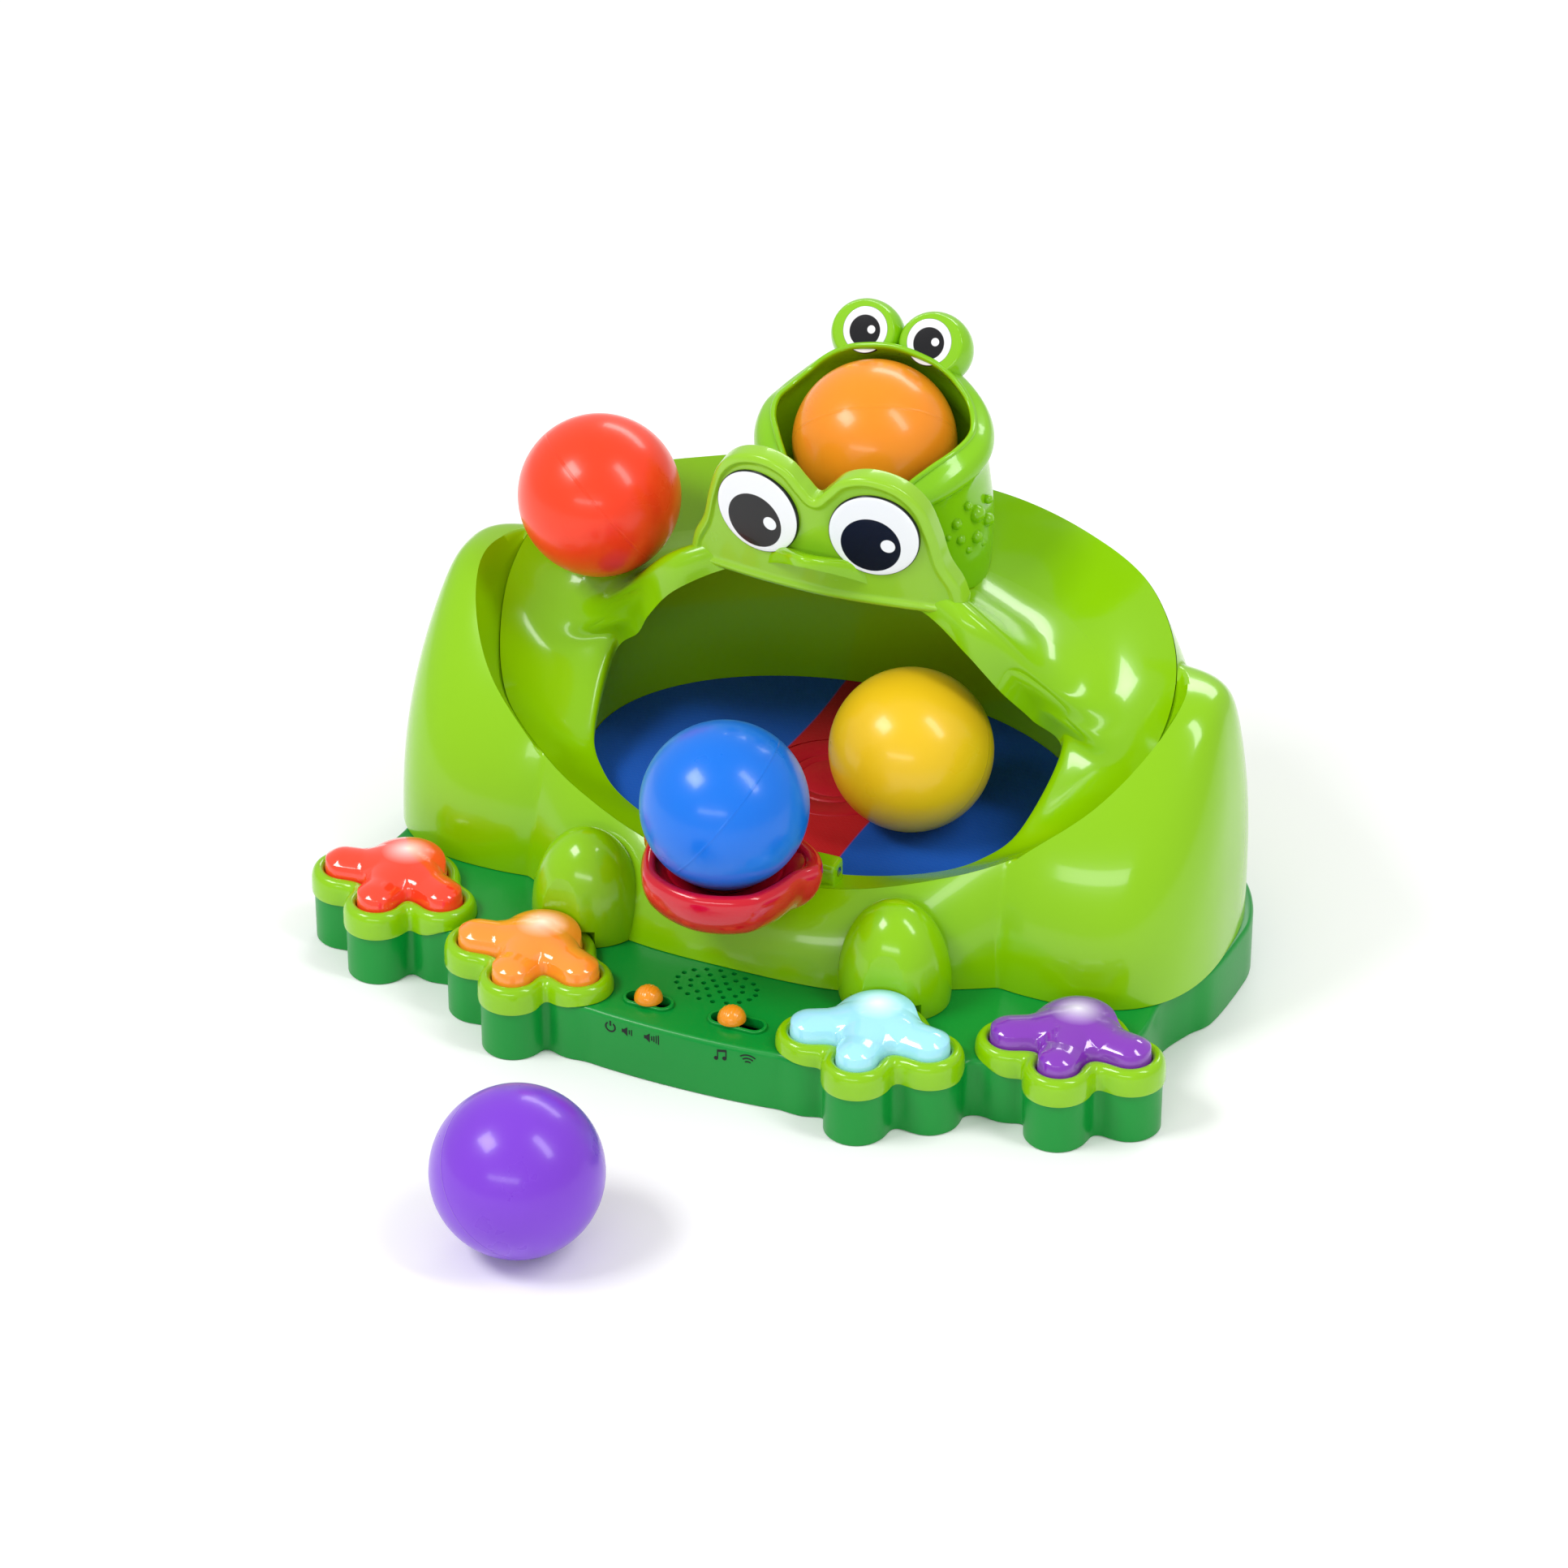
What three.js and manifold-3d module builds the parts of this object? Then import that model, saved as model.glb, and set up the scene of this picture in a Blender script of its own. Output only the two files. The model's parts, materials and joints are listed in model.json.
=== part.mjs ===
// A frog-shaped ball popper toy. Balls bounce on a cloth floor in the big frog's mouth, pop up
// through the small frog on its back, and roll down a run round the head into the mouth again.
// +X is to the right, +Y to the back, +Z up, and the origin is the middle of the flat underside.
import * as THREE from "three";
import { mergeVertices } from "three/addons/utils/BufferGeometryUtils.js";
import Module from "manifold-3d";

const wasm = await Module();
wasm.setup();

// Driving sizes, in millimetres
const halfWidth = 164;
const halfDepth = 128;
const crestHeight = 143;
const baseHeight = 24;
const ballDiameter = 61;
const wall = 3;
const gap = 0.3;
const overrun = 5;

// Counts of facets
const stations = 48;
const wideSides = 32;
const pawSides = 28;
const roundSides = 24;
const midSides = 16;
const smallSides = 10;
const holeSides = 6;

// Plastic, cloth and metal finishes
const lime = 0x97d20c;
const deepLime = 0x7cc41c;
const paleLime = 0x9cda34;
const darkGreen = 0x0f8c3c;
const tongueRed = 0xd01230;
const orange = 0xf39a1f;
const clothBlue = 0x0a5cb8;
const white = 0xf5f5f5;
const greyPlastic = 0x4a4d52;
const boardGreen = 0x1f6b3a;
const steel = 0xb8bcc0;
const ballColours = { red: 0xfa4b23, orange: 0xf5962d, blue: 0x197de1, yellow: 0xf0c832, purple: 0x8241d2 };
const lensColours = {
  left_outer: 0xff461e,
  left_inner: 0xfa8c28,
  right_inner: 0x96d2eb,
  right_outer: 0x783cbe,
};
const finish = (color, roughness, metalness) =>
  new THREE.MeshStandardMaterial({ color, roughness, metalness });
const gloss = (color) => finish(color, 0.2, 0);
const matte = (color) => finish(color, 0.6, 0);
const metal = () => finish(steel, 0.35, 1);

const toy = new THREE.Group();
const lerp = THREE.MathUtils.lerp;
const clamp = THREE.MathUtils.clamp;
const turnOf = (i, count) => (2 * Math.PI * i) / count;

// Solids: a closed geometry becomes one that can be cut and joined, and goes back to a mesh
const mergeTolerance = 1e-4;
function solid(geometry) {
  const bare = new THREE.BufferGeometry();
  const source = geometry.index ? geometry.toNonIndexed() : geometry;
  bare.setAttribute("position", source.getAttribute("position"));
  const merged = mergeVertices(bare, mergeTolerance);
  return new wasm.Manifold(
    new wasm.Mesh({
      numProp: 3,
      vertProperties: new Float32Array(merged.attributes.position.array),
      triVerts: new Uint32Array(merged.index.array),
    }),
  );
}

function geometryOf(shape) {
  const mesh = shape.getMesh();
  const geometry = new THREE.BufferGeometry();
  geometry.setAttribute("position", new THREE.BufferAttribute(mesh.vertProperties, 3));
  geometry.setIndex(new THREE.BufferAttribute(mesh.triVerts, 1));
  return geometry;
}

function add(name, shape, material) {
  const mesh = new THREE.Mesh(geometryOf(shape), material);
  mesh.name = name;
  toy.add(mesh);
}

// Rings of equal point count become a skin. A looped skin closes on its first ring, and an open
// one is capped at both ends by a fan round the ring's middle.
function skin(rings, looped) {
  const count = rings[0].length;
  const points = rings.flat();
  const faces = [];
  const last = looped ? rings.length : rings.length - 1;
  for (let j = 0; j < last; j++) {
    const here = j * count;
    const next = ((j + 1) % rings.length) * count;
    for (let i = 0; i < count; i++) {
      const k = (i + 1) % count;
      faces.push([here + i, here + k, next + k], [here + i, next + k, next + i]);
    }
  }
  const ends = looped ? [] : [0, rings.length - 1];
  for (const ring of ends) {
    const centre = new THREE.Vector3();
    rings[ring].forEach((p) => centre.addScaledVector(p, 1 / count));
    points.push(centre);
    const hub = points.length - 1;
    for (let i = 0; i < count; i++) {
      const a = ring * count + i;
      const b = ring * count + ((i + 1) % count);
      faces.push(ring === 0 ? [hub, b, a] : [hub, a, b]);
    }
  }
  const geometry = new THREE.BufferGeometry().setFromPoints(points);
  geometry.setIndex(faces.flat());
  const made = solid(geometry);
  if (made.volume() > 0) return made;
  geometry.setIndex(faces.map(([a, b, c]) => [a, c, b]).flat());
  return solid(geometry);
}

// Plain solids: a block by its size and centre, an upright post, rods along X and Y, a prism
// over an outline, and an egg whose poles are its top and bottom
function box(size, centre) {
  const geometry = new THREE.BoxGeometry(...size);
  return solid(geometry.translate(...centre));
}
function cylinder(radius, from, to, sides) {
  return new THREE.CylinderGeometry(radius, radius, to - from, sides).translate(0, (from + to) / 2, 0);
}
function post(radius, from, to, x, y, sides) {
  return solid(cylinder(radius, from, to, sides).rotateX(Math.PI / 2).translate(x, y, 0));
}
function rodX(radius, from, to, y, z, sides) {
  return solid(cylinder(radius, from, to, sides).rotateZ(-Math.PI / 2).translate(0, y, z));
}
function rodY(radius, from, to, x, z, sides) {
  return solid(cylinder(radius, from, to, sides).translate(x, 0, z));
}
function prism(points, from, to) {
  const shape = new THREE.Shape(points);
  const geometry = new THREE.ExtrudeGeometry(shape, { depth: to - from, bevelEnabled: false });
  return solid(geometry.translate(0, 0, from));
}
function egg(radii, centre, across, down) {
  const geometry = new THREE.SphereGeometry(1, across, down).rotateX(Math.PI / 2);
  return solid(geometry.scale(...radii).translate(...centre));
}
function cutAll(shape, cutters) {
  return cutters.reduce((left, cutter) => left.subtract(cutter), shape);
}

// A closed guide line through the points of its right half and their mirror images. The first
// and the last point lie in the middle plane.
const mirrored = (point) => new THREE.Vector3(-point.x, point.y, point.z);
const guideTension = 0.5;
function closedLine(right) {
  const left = right.slice(1, -1).reverse().map(mirrored);
  return new THREE.CatmullRomCurve3([...right, ...left], true, "catmullrom", guideTension);
}
function sampled(line, count) {
  const points = [];
  for (let i = 0; i < count; i++) {
    points.push(line.getPoint(i / count));
  }
  return points;
}

// Guide lines round the body. Each row is one station of the right half, from the middle of the
// back to the middle of the front, as shares of half width, half depth and crest height.
const crestShares = [
  [0, 0.78, 1], [0.256, 0.765, 0.993], [0.47, 0.68, 0.972], [0.652, 0.516, 0.958],
  [0.768, 0.336, 0.888], [0.805, 0.188, 0.783], [0.78, 0.031, 0.664], [0.707, -0.125, 0.566],
  [0.579, -0.25, 0.503], [0.439, -0.336, 0.448], [0.232, -0.414, 0.395], [0, -0.4375, 0.378],
];
const mouthShares = [
  [0, -0.047, 1.119], [0.122, 0.0625, 1.049], [0.244, 0.1, 0.979], [0.354, 0.07, 0.902],
  [0.427, 0.1, 0.797], [0.482, 0.172, 0.692], [0.549, 0.195, 0.601], [0.524, -0.023, 0.462],
  [0.463, -0.133, 0.406], [0.366, -0.219, 0.38], [0.207, -0.3125, 0.376], [0, -0.352, 0.376],
];
const footShares = [
  [0, 0.984, 0], [0.317, 0.941, 0], [0.585, 0.805, 0], [0.793, 0.6, 0],
  [0.915, 0.367, 0], [0.957, 0.125, 0], [0.902, -0.086, 0], [0.78, -0.234, 0],
  [0.634, -0.32, 0], [0.482, -0.422, 0], [0.268, -0.547, 0], [0, -0.57, 0],
];
// The run's dip and the brow's rise at the same stations, as shares of the crest height
const dipShares = [0.126, 0.14, 0.154, 0.14, 0.119, 0.084, 0.049, 0.021, 0.007, 0, 0, 0];
const browShares = [0.028, 0.056, 0.091, 0.098, 0.084, 0.056, 0.028, 0.007, 0, 0, 0, 0];

const bodySpot = ([x, y, z]) => new THREE.Vector3(x * halfWidth, y * halfDepth, z * crestHeight);
const guide = (shares) => closedLine(shares.map(bodySpot));
const crest = guide(crestShares);
const mouth = guide(mouthShares);
const foot = guide(footShares);
const runTrim = guide(dipShares.map((dip, i) => [0, dip, browShares[i]]));
const backOfCrest = bodySpot(crestShares[0]);
const frontOfCrest = bodySpot(crestShares.at(-1));
const browLip = bodySpot(mouthShares[0]);
const frontLip = bodySpot(mouthShares.at(-1));

// The ball run: across each station the surface goes from the mouth's edge over the brow,
// down into the dip and up to the crest.
const browPeakShare = 0.12;
const browPower = 0.6;
function runPoint(t, s) {
  const trim = runTrim.getPoint(t);
  const dip = (trim.y / halfDepth) * crestHeight;
  const rise = s / browPeakShare;
  const hump = Math.pow(Math.max(rise, 0) * Math.exp(1 - rise), browPower);
  const point = mouth.getPoint(t).lerp(crest.getPoint(t), s);
  point.z += trim.z * hump - dip * Math.sin(Math.PI * clamp(s, 0, 1));
  return point;
}

// A band of the run between its lifted surface and a lower one. Its outer edge stops a gap short
// of the crest, and a cutter's band is carried past both edges.
const runStepShares = [0, 0.05, 0.12, 0.26, 0.45, 0.7, 1];
const runUnderShares = [1, 0.7, 0.3, 0];
function runBand(past, lift, underOf) {
  const rings = [];
  for (let j = 0; j < stations; j++) {
    const t = j / stations;
    const width = mouth.getPoint(t).distanceTo(crest.getPoint(t));
    const edge = 1 - gap / width;
    const beyond = past ? [1 + past / width] : [];
    const before = past ? [-past / width] : [];
    const over = [...before, ...runStepShares.map((s) => s * edge), ...beyond];
    const under = [...beyond, ...runUnderShares.map((s) => s * edge), ...before];
    const top = over.map((s) => {
      const point = runPoint(t, s);
      return point.setZ(point.z + lift);
    });
    rings.push([...top, ...under.map((s) => underOf(runPoint(t, s)))]);
  }
  return skin(rings, true);
}

// Outer body: from the crest the wall falls in a bowed line to the foot. The haunches swell out
// of it as two leaning eggs with squared plans, whose sizes are shares of the body's.
const footHeight = baseHeight + gap;
const bowOutShare = 0.78;
const bowDownShare = 0.4;
const haunchMiddleShares = [0.683, 0.078];
const haunchHalfShares = [0.311, 0.453];
const haunchFloor = 20;
const haunchTopShare = 0.86;
const haunchLeanShare = 0.085;
const haunchSetBackShare = 0.14;
const haunchNarrowShare = 0.45;
const planPower = 2.6;
const risePower = 3.5;
const leanPower = 8;
const swellBlend = 3;
const swellReachShare = 0.37;
const searchSteps = 40;
const halvings = 12;
const thinnest = 1e-4;

function insideHaunch(p) {
  const up = clamp((p.z - haunchFloor) / (crestHeight * haunchTopShare - haunchFloor), 0, 1);
  if (up === 1) return false;
  const scale = Math.pow(1 - Math.pow(up, risePower), 1 / risePower) + thinnest;
  const middleX = haunchMiddleShares[0] + haunchLeanShare * Math.pow(up, leanPower);
  const middleY = haunchMiddleShares[1] + haunchSetBackShare * up * up;
  const halfX = haunchHalfShares[0] * scale;
  const halfY = haunchHalfShares[1] * scale * (1 - haunchNarrowShare * up * up);
  const x = Math.abs(Math.abs(p.x) / halfWidth - middleX) / halfX;
  const y = Math.abs(p.y / halfDepth - middleY) / halfY;
  return Math.pow(x, planPower) + Math.pow(y, planPower) < 1;
}
// How far along a ray the last point inside the haunch lies, found by walking back to it
function haunchReach(origin, direction) {
  const inside = (reach) => insideHaunch(origin.clone().addScaledVector(direction, reach));
  const least = -swellBlend;
  let far = swellReachShare * halfWidth;
  const step = (far - least) / searchSteps;
  while (far > least && !inside(far - step)) {
    far -= step;
  }
  if (far <= least) return least;
  let near = far - step;
  for (let i = 0; i < halvings; i++) {
    const middle = (near + far) / 2;
    if (inside(middle)) near = middle;
    else far = middle;
  }
  return near;
}
// The larger of two values, with the corner between them rounded over the width given
function smoothMax(a, b, width) {
  const overlap = Math.max(width - Math.abs(a - b), 0);
  return Math.max(a, b) + (overlap * overlap) / (4 * width);
}

const easeShare = 0.04;
const outwardLossShare = 0.7;
function wallPoint(t, q, grow) {
  const top = crest.getPoint(t);
  const bottom = foot.getPoint(t).setZ(footHeight);
  const bow = top.clone().lerp(bottom, bowOutShare);
  bow.z = lerp(top.z, footHeight, bowDownShare);
  const point = top.clone().lerp(bow, q).lerp(bow.clone().lerp(bottom, q), q);
  const outward = bottom.clone().sub(top).setZ(0).normalize();
  const tilt = (1 - q) ** 2;
  const direction = outward.multiplyScalar(1 - outwardLossShare * tilt).setZ(tilt).normalize();
  const swell = smoothMax(0, haunchReach(point, direction), swellBlend) - swellBlend / 4;
  const ease = clamp(q / easeShare, 0, 1);
  return point.addScaledVector(direction, Math.max(swell, 0) * ease + grow);
}

const wallShares = [0, 0.04, 0.12, 0.24, 0.4, 0.6, 0.8, 1];
const wallInnerShares = [1, 0.5, 0.04];
function bodyShell(grow, thickness) {
  const rings = [];
  for (let j = 0; j < stations; j++) {
    const t = j / stations;
    const outer = wallShares.map((q) => wallPoint(t, q, grow));
    const inner = wallInnerShares.map((q) => wallPoint(t, q, -thickness));
    const flange = crest.getPoint(t);
    flange.z -= wall + gap;
    rings.push([...outer, ...inner, flange]);
  }
  return skin(rings, true);
}
// The same body filled, which trims what stands against it
function bodyFilled(grow) {
  const rings = wallShares.map((q) => {
    const ring = [];
    for (let j = 0; j < stations; j++) {
      ring.push(wallPoint(j / stations, q, grow));
    }
    return ring;
  });
  return skin(rings, false);
}

// The wrists are egg-shaped domes on the front wall, behind the inner paws.
const wristMiddleShares = [0.372, -0.5];
const wristHalfWidth = 21;
const wristHalfDepth = 19;
const wristMiddleZ = 30;
const wristRiseShare = 0.231;
function wristDome(side) {
  const radii = [wristHalfWidth, wristHalfDepth, wristRiseShare * crestHeight];
  const [x, y] = [wristMiddleShares[0] * halfWidth, wristMiddleShares[1] * halfDepth];
  return egg(radii, [side * x, y, wristMiddleZ], midSides, smallSides);
}
// A dome stands clear of its paw's bezel below and of its button above.
function buildBody() {
  const below = box([2 * halfWidth, 2 * halfDepth, crestHeight], [0, 0, footHeight - crestHeight / 2]);
  let domes = wristDome(-1).add(wristDome(1)).subtract(below).subtract(bodyFilled(-wall / 2));
  for (const paw of paws) {
    domes = domes.subtract(pawPrism(paw, bezelGrow + gap, 0, bezelTop + gap));
    domes = domes.subtract(pawPrism(paw, buttonPlay, 0, crestHeight));
  }
  return bodyShell(0, wall).add(domes);
}

// The cloth floor is an ellipse inside the mouth's rim. The mouth's wall stands on the base,
// meets the underside of the run, and carries the hoop that the cloth is stretched over.
const clothWidthShare = 0.5915;
const clothFrontShare = -0.344;
const clothBackShare = 0.734;
const clothDrop = 3.8;
const clothThick = 1;
const hoopDepth = 4;
const hoopHeight = 4.4;
const ledgeThick = 4;
const ledgeDepth = 5;
const padRadius = 17;
const padRingRadius = 27;
const padThick = 1.6;
const clothTop = frontLip.z - clothDrop;
const clothUnder = clothTop - clothThick;
const ledgeTop = clothUnder - hoopHeight - 2 * gap;
const clothHalfWidth = clothWidthShare * halfWidth;
const clothHalfDepth = ((clothBackShare - clothFrontShare) / 2) * halfDepth;
const clothY = ((clothBackShare + clothFrontShare) / 2) * halfDepth;
function clothEllipse(grow) {
  const points = [];
  for (let i = 0; i < wideSides; i++) {
    const x = (clothHalfWidth + grow) * Math.cos(turnOf(i, wideSides));
    const y = clothY + (clothHalfDepth + grow) * Math.sin(turnOf(i, wideSides));
    points.push(new THREE.Vector2(x, y));
  }
  return points;
}

const samplesAround = 280;
const samplesAcross = 50;
const runSamples = [];
for (let j = 0; j < samplesAround; j++) {
  for (let i = 0; i <= samplesAcross; i++) {
    runSamples.push(runPoint(j / samplesAround, i / samplesAcross));
  }
}
// The lowest that the run's top gets near a spot, or at the sample nearest to it
function runAbove(spot) {
  const reach = (p) => Math.hypot(p.x - spot.x, p.y - spot.y);
  const near = runSamples.filter((p) => reach(p) < overrun);
  if (near.length > 0) return Math.min(...near.map((p) => p.z));
  return runSamples.reduce((best, p) => (reach(p) < reach(best) ? p : best)).z;
}
function buildMouthWall() {
  const outer = clothEllipse(wall);
  const inner = clothEllipse(0);
  const ledge = clothEllipse(-ledgeDepth);
  const at = (spot, z) => new THREE.Vector3(spot.x, spot.y, z);
  const ledgeUnder = ledgeTop - ledgeThick;
  const rings = outer.map((point, i) => {
    const top = Math.min(runAbove(point), runAbove(inner[i])) - wall - 2 * gap;
    const outside = [at(point, footHeight), at(point, top), at(inner[i], top), at(inner[i], ledgeTop)];
    const inside = [at(ledge[i], ledgeTop), at(ledge[i], ledgeUnder), at(inner[i], ledgeUnder)];
    return [...outside, ...inside, at(inner[i], footHeight)];
  });
  return skin(rings, true);
}
function buildHoop() {
  const ring = prism(clothEllipse(-gap), ledgeTop + gap, ledgeTop + gap + hoopHeight);
  return ring.subtract(prism(clothEllipse(-hoopDepth), 0, clothTop));
}
function buildCloth() {
  const sheet = prism(clothEllipse(-gap), clothUnder, clothTop);
  return sheet.subtract(post(padRingRadius + gap, 0, crestHeight, 0, clothY, wideSides));
}
function buildPadRing() {
  const disc = post(padRingRadius, clothTop - padThick, clothTop, 0, clothY, wideSides);
  return disc.subtract(post(padRadius + gap, 0, crestHeight, 0, clothY, roundSides));
}

// The small frog on the big one's back is a hood over a throat that curves forward to its mouth.
// Its points are across, forward of the crest's back and above the crest, as shares of a ball's
// diameter. Each row of the neck and the throat is a ring: its front, the front's height, its
// back, the back's height and its half width.
const hoodSpot = ([x, y, z]) =>
  new THREE.Vector3(x * ballDiameter, backOfCrest.y - y * ballDiameter, crestHeight + z * ballDiameter);
const neckShares = [
  [1.178, -0.508, 0.03, -0.508, 0.705],
  [1.17, -0.197, 0.014, -0.033, 0.73],
  [1.178, 0.049, -0.003, 0.148, 0.73],
  [1.211, 0.23, -0.003, 0.377, 0.705],
  [1.26, 0.344, 0.014, 0.607, 0.689],
];
const shaftShares = [
  [1.153, 0.23, 0.104, 0.41, 0.533],
  [1.137, 0.049, 0.104, 0.115, 0.516],
  [1.137, -0.508, 0.104, -0.508, 0.516],
];
// The rim of its mouth is bent: the lower lip lies forward and the upper arc stands upright.
const rimShares = [
  [0, 1.227, 0.41], [0.197, 1.178, 0.451], [0.361, 1.079, 0.525], [0.426, 1.014, 0.574],
  [0.492, 0.932, 0.623], [0.574, 0.801, 0.672], [0.607, 0.653, 0.705], [0.574, 0.522, 0.73],
  [0.508, 0.424, 0.787], [0.426, 0.391, 0.869], [0.328, 0.366, 0.934], [0.213, 0.366, 0.984],
  [0, 0.358, 1.016],
];
const rimMiddle = hoodSpot([0, 0.784, 0.705]);
const swellMiddle = hoodSpot([0, 0.653, 0.541]);
const rimThick = 2.4;
const hoodBulge = 4.6;
const rimSteps = [0.35, 0.7, 1];
const mouthPush = 12;
const mouthAimShares = [0, 0.61, 0.79];
const rim = closedLine(rimShares.map(hoodSpot));
function neckRing([front, frontRise, back, backRise, half]) {
  const points = [];
  for (let i = 0; i < roundSides; i++) {
    const turn = turnOf(i, roundSides);
    const share = (1 - Math.cos(turn)) / 2;
    points.push(hoodSpot([half * Math.sin(turn), lerp(front, back, share), lerp(frontRise, backRise, share)]));
  }
  return points;
}
const awayFrom = (middle, point) => point.clone().sub(middle).normalize();
function rimRing(grow) {
  return sampled(rim, roundSides).map((p) => p.clone().addScaledVector(awayFrom(rimMiddle, p), grow));
}
// A ring part way from a ring of the neck to the rim, swelling outwards between them
function blendRing(ring, grow, step) {
  const bulge = hoodBulge * Math.sin(Math.PI * step);
  return rimRing(grow).map((p, i) => {
    const point = ring[i].clone().lerp(p, step);
    return point.addScaledVector(awayFrom(swellMiddle, point), bulge);
  });
}
function throatSolid() {
  const top = neckRing(shaftShares[0]);
  const push = new THREE.Vector3(0, -mouthAimShares[1], mouthAimShares[2]).multiplyScalar(mouthPush);
  const past = rimRing(0).map((p) => p.clone().add(push));
  const blends = [...rimSteps].reverse().map((step) => blendRing(top, 0, step));
  return skin([past, ...blends, ...shaftShares.map(neckRing)], false);
}

// Eye bumps of the small frog: eggs cut flat square to where the eyes look, each with a shallow
// well that its disc lies in
const bumpShares = [0.221, 0.205, 0.995];
const bumpRadiusShares = [0.234, 0.197, 0.23];
const smallEyeShares = [0.208, 0.29, 1.077];
const smallEyeRadiusShare = 0.146;
const smallEyeTilt = 58;
const eyeThick = 1;
const smallEyeRadius = smallEyeRadiusShare * ballDiameter;
const halfSpace = crestHeight;
function facing(shape, tilt, toe, spot) {
  return shape.rotate([tilt, 0, toe]).translate([spot.x, spot.y, spot.z]);
}
const onSide = (side, [x, y, z]) => hoodSpot([side * x, y, z]);
function smallEye(side) {
  const disc = post(smallEyeRadius, -eyeThick, 0, 0, 0, roundSides);
  return facing(disc, smallEyeTilt, 0, onSide(side, smallEyeShares));
}
function smallEyeWell(side) {
  const well = post(smallEyeRadius + gap, -eyeThick - gap, overrun, 0, 0, roundSides);
  return facing(well, smallEyeTilt, 0, onSide(side, smallEyeShares));
}
function eyeBump(side) {
  const radii = bumpRadiusShares.map((share) => share * ballDiameter);
  return egg(radii, onSide(side, bumpShares).toArray(), midSides, smallSides);
}
function buildHood(cutters) {
  const neck = neckShares.map(neckRing);
  const blends = rimSteps.map((step) => blendRing(neck.at(-1), rimThick, step));
  const hood = skin([...neck, ...blends], false);
  const half = box([halfSpace, halfSpace, halfSpace], [0, 0, halfSpace / 2]);
  const before = facing(half, smallEyeTilt, 0, onSide(0, smallEyeShares));
  const bumps = eyeBump(-1).add(eyeBump(1)).subtract(before);
  return cutAll(hood.add(bumps), [throatSolid(), smallEyeWell(-1), smallEyeWell(1), ...cutters]);
}

// The big frog's eye panel stands on the brow as a bowed plate with two round lobes. Each row is
// one slice of its right half: across, the top and the bottom, as shares of its half width and of
// its rise above the mouth's lip.
const panelHalfWidth = 54;
const panelRise = 33;
const panelShares = [
  [0, 0.606, -0.667], [0.083, 0.727, -0.667], [0.204, 0.924, -0.667], [0.389, 1, -0.673],
  [0.593, 0.909, -0.685], [0.741, 0.667, -0.7], [0.824, 0.303, -0.712], [0.88, -0.06, -0.72],
  [0.963, -0.333, -0.727], [1, -0.545, -0.606],
];
const panelThick = 8;
const panelEdge = 1.4;
const panelBowRadius = 163;
const panelForward = 10.3;
const panelLean = 5;
const bigEyeX = 22.8;
const bigEyeRise = 9;
const bigEyeRadius = 17;
const bigEyeToe = 8;
const bigEyeThick = 1.6;
const bigEyeDepth = 1.2;
const panelFoot = new THREE.Vector3(0, browLip.y + panelForward, browLip.z + bigEyeRise);
const panelBow = (x) => (x * x) / (2 * panelBowRadius);
function panelSlice([across, top, bottom]) {
  const x = across * panelHalfWidth;
  const [high, low] = [top * panelRise - bigEyeRise, bottom * panelRise - bigEyeRise];
  const front = -panelBow(x);
  const at = (y, z) => new THREE.Vector3(x, y, z);
  const face = [at(low, front), at(high - panelEdge, front), at(high, front - panelEdge)];
  const rear = front - panelThick;
  return [...face, at(high, rear + panelEdge), at(high - panelEdge, rear), at(low, rear)];
}
function bigEyeSpot(side) {
  const lean = THREE.MathUtils.degToRad(panelLean);
  const bow = panelBow(bigEyeX);
  const spot = new THREE.Vector3(side * bigEyeX, bow * Math.cos(lean), bow * Math.sin(lean));
  return spot.add(panelFoot);
}
function bigEye(side, cutter) {
  const back = gap - bigEyeDepth;
  const disc = post(bigEyeRadius, back, back + bigEyeThick, 0, 0, roundSides);
  return facing(disc, 90 + panelLean, side * bigEyeToe, bigEyeSpot(side)).subtract(cutter);
}
function bigEyeWell(side) {
  const well = post(bigEyeRadius + gap, -bigEyeDepth, overrun, 0, 0, roundSides);
  return facing(well, 90 + panelLean, side * bigEyeToe, bigEyeSpot(side));
}
function buildPanel(cutter) {
  const right = panelShares.map(panelSlice);
  const left = right.slice(1).reverse().map((slice) => slice.map(mirrored));
  const plate = facing(skin([...left, ...right], false), 90 + panelLean, 0, panelFoot);
  return cutAll(plate, [bigEyeWell(-1), bigEyeWell(1), cutter]);
}

// The tongue hangs on a pin between two lugs of the run's front lip, and a wound spring in the
// middle of its barrel holds it up.
const pinBack = 2;
const pinRise = 5.2;
const pinRadius = 1.6;
const runningPlay = 0.12;
const barrelRadius = 4;
const barrelHalf = 20.7;
const lugWidth = 11;
const lugDepth = 9;
const lugHeight = 8;
const lugSunk = 2;
const pinY = frontLip.y - pinBack;
const pinZ = frontLip.z + pinRise;
function tonguePin(grow) {
  const half = barrelHalf + lugWidth + gap + grow;
  return rodX(pinRadius + grow, -half, half, pinY, pinZ, smallSides);
}
function tongueLug(side) {
  const x = side * (barrelHalf + gap + lugWidth / 2);
  const top = pinZ + lugHeight / 2;
  const bottom = frontLip.z - lugSunk;
  return box([lugWidth, lugDepth, top - bottom], [x, pinY, (top + bottom) / 2]);
}
const throatPlay = 1;
const ballRadius = ballDiameter / 2;
const throatRadius = ballRadius + throatPlay;
const throatShare = 0.62;
function buildRun() {
  const shell = runBand(0, 0, (point) => point.setZ(point.z - wall));
  const throatY = backOfCrest.y - throatShare * ballDiameter;
  const hole = post(throatRadius, 0, 2 * crestHeight, 0, throatY, roundSides);
  return shell.subtract(hole).add(tongueLug(-1)).add(tongueLug(1)).subtract(tonguePin(gap / 2));
}

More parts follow.
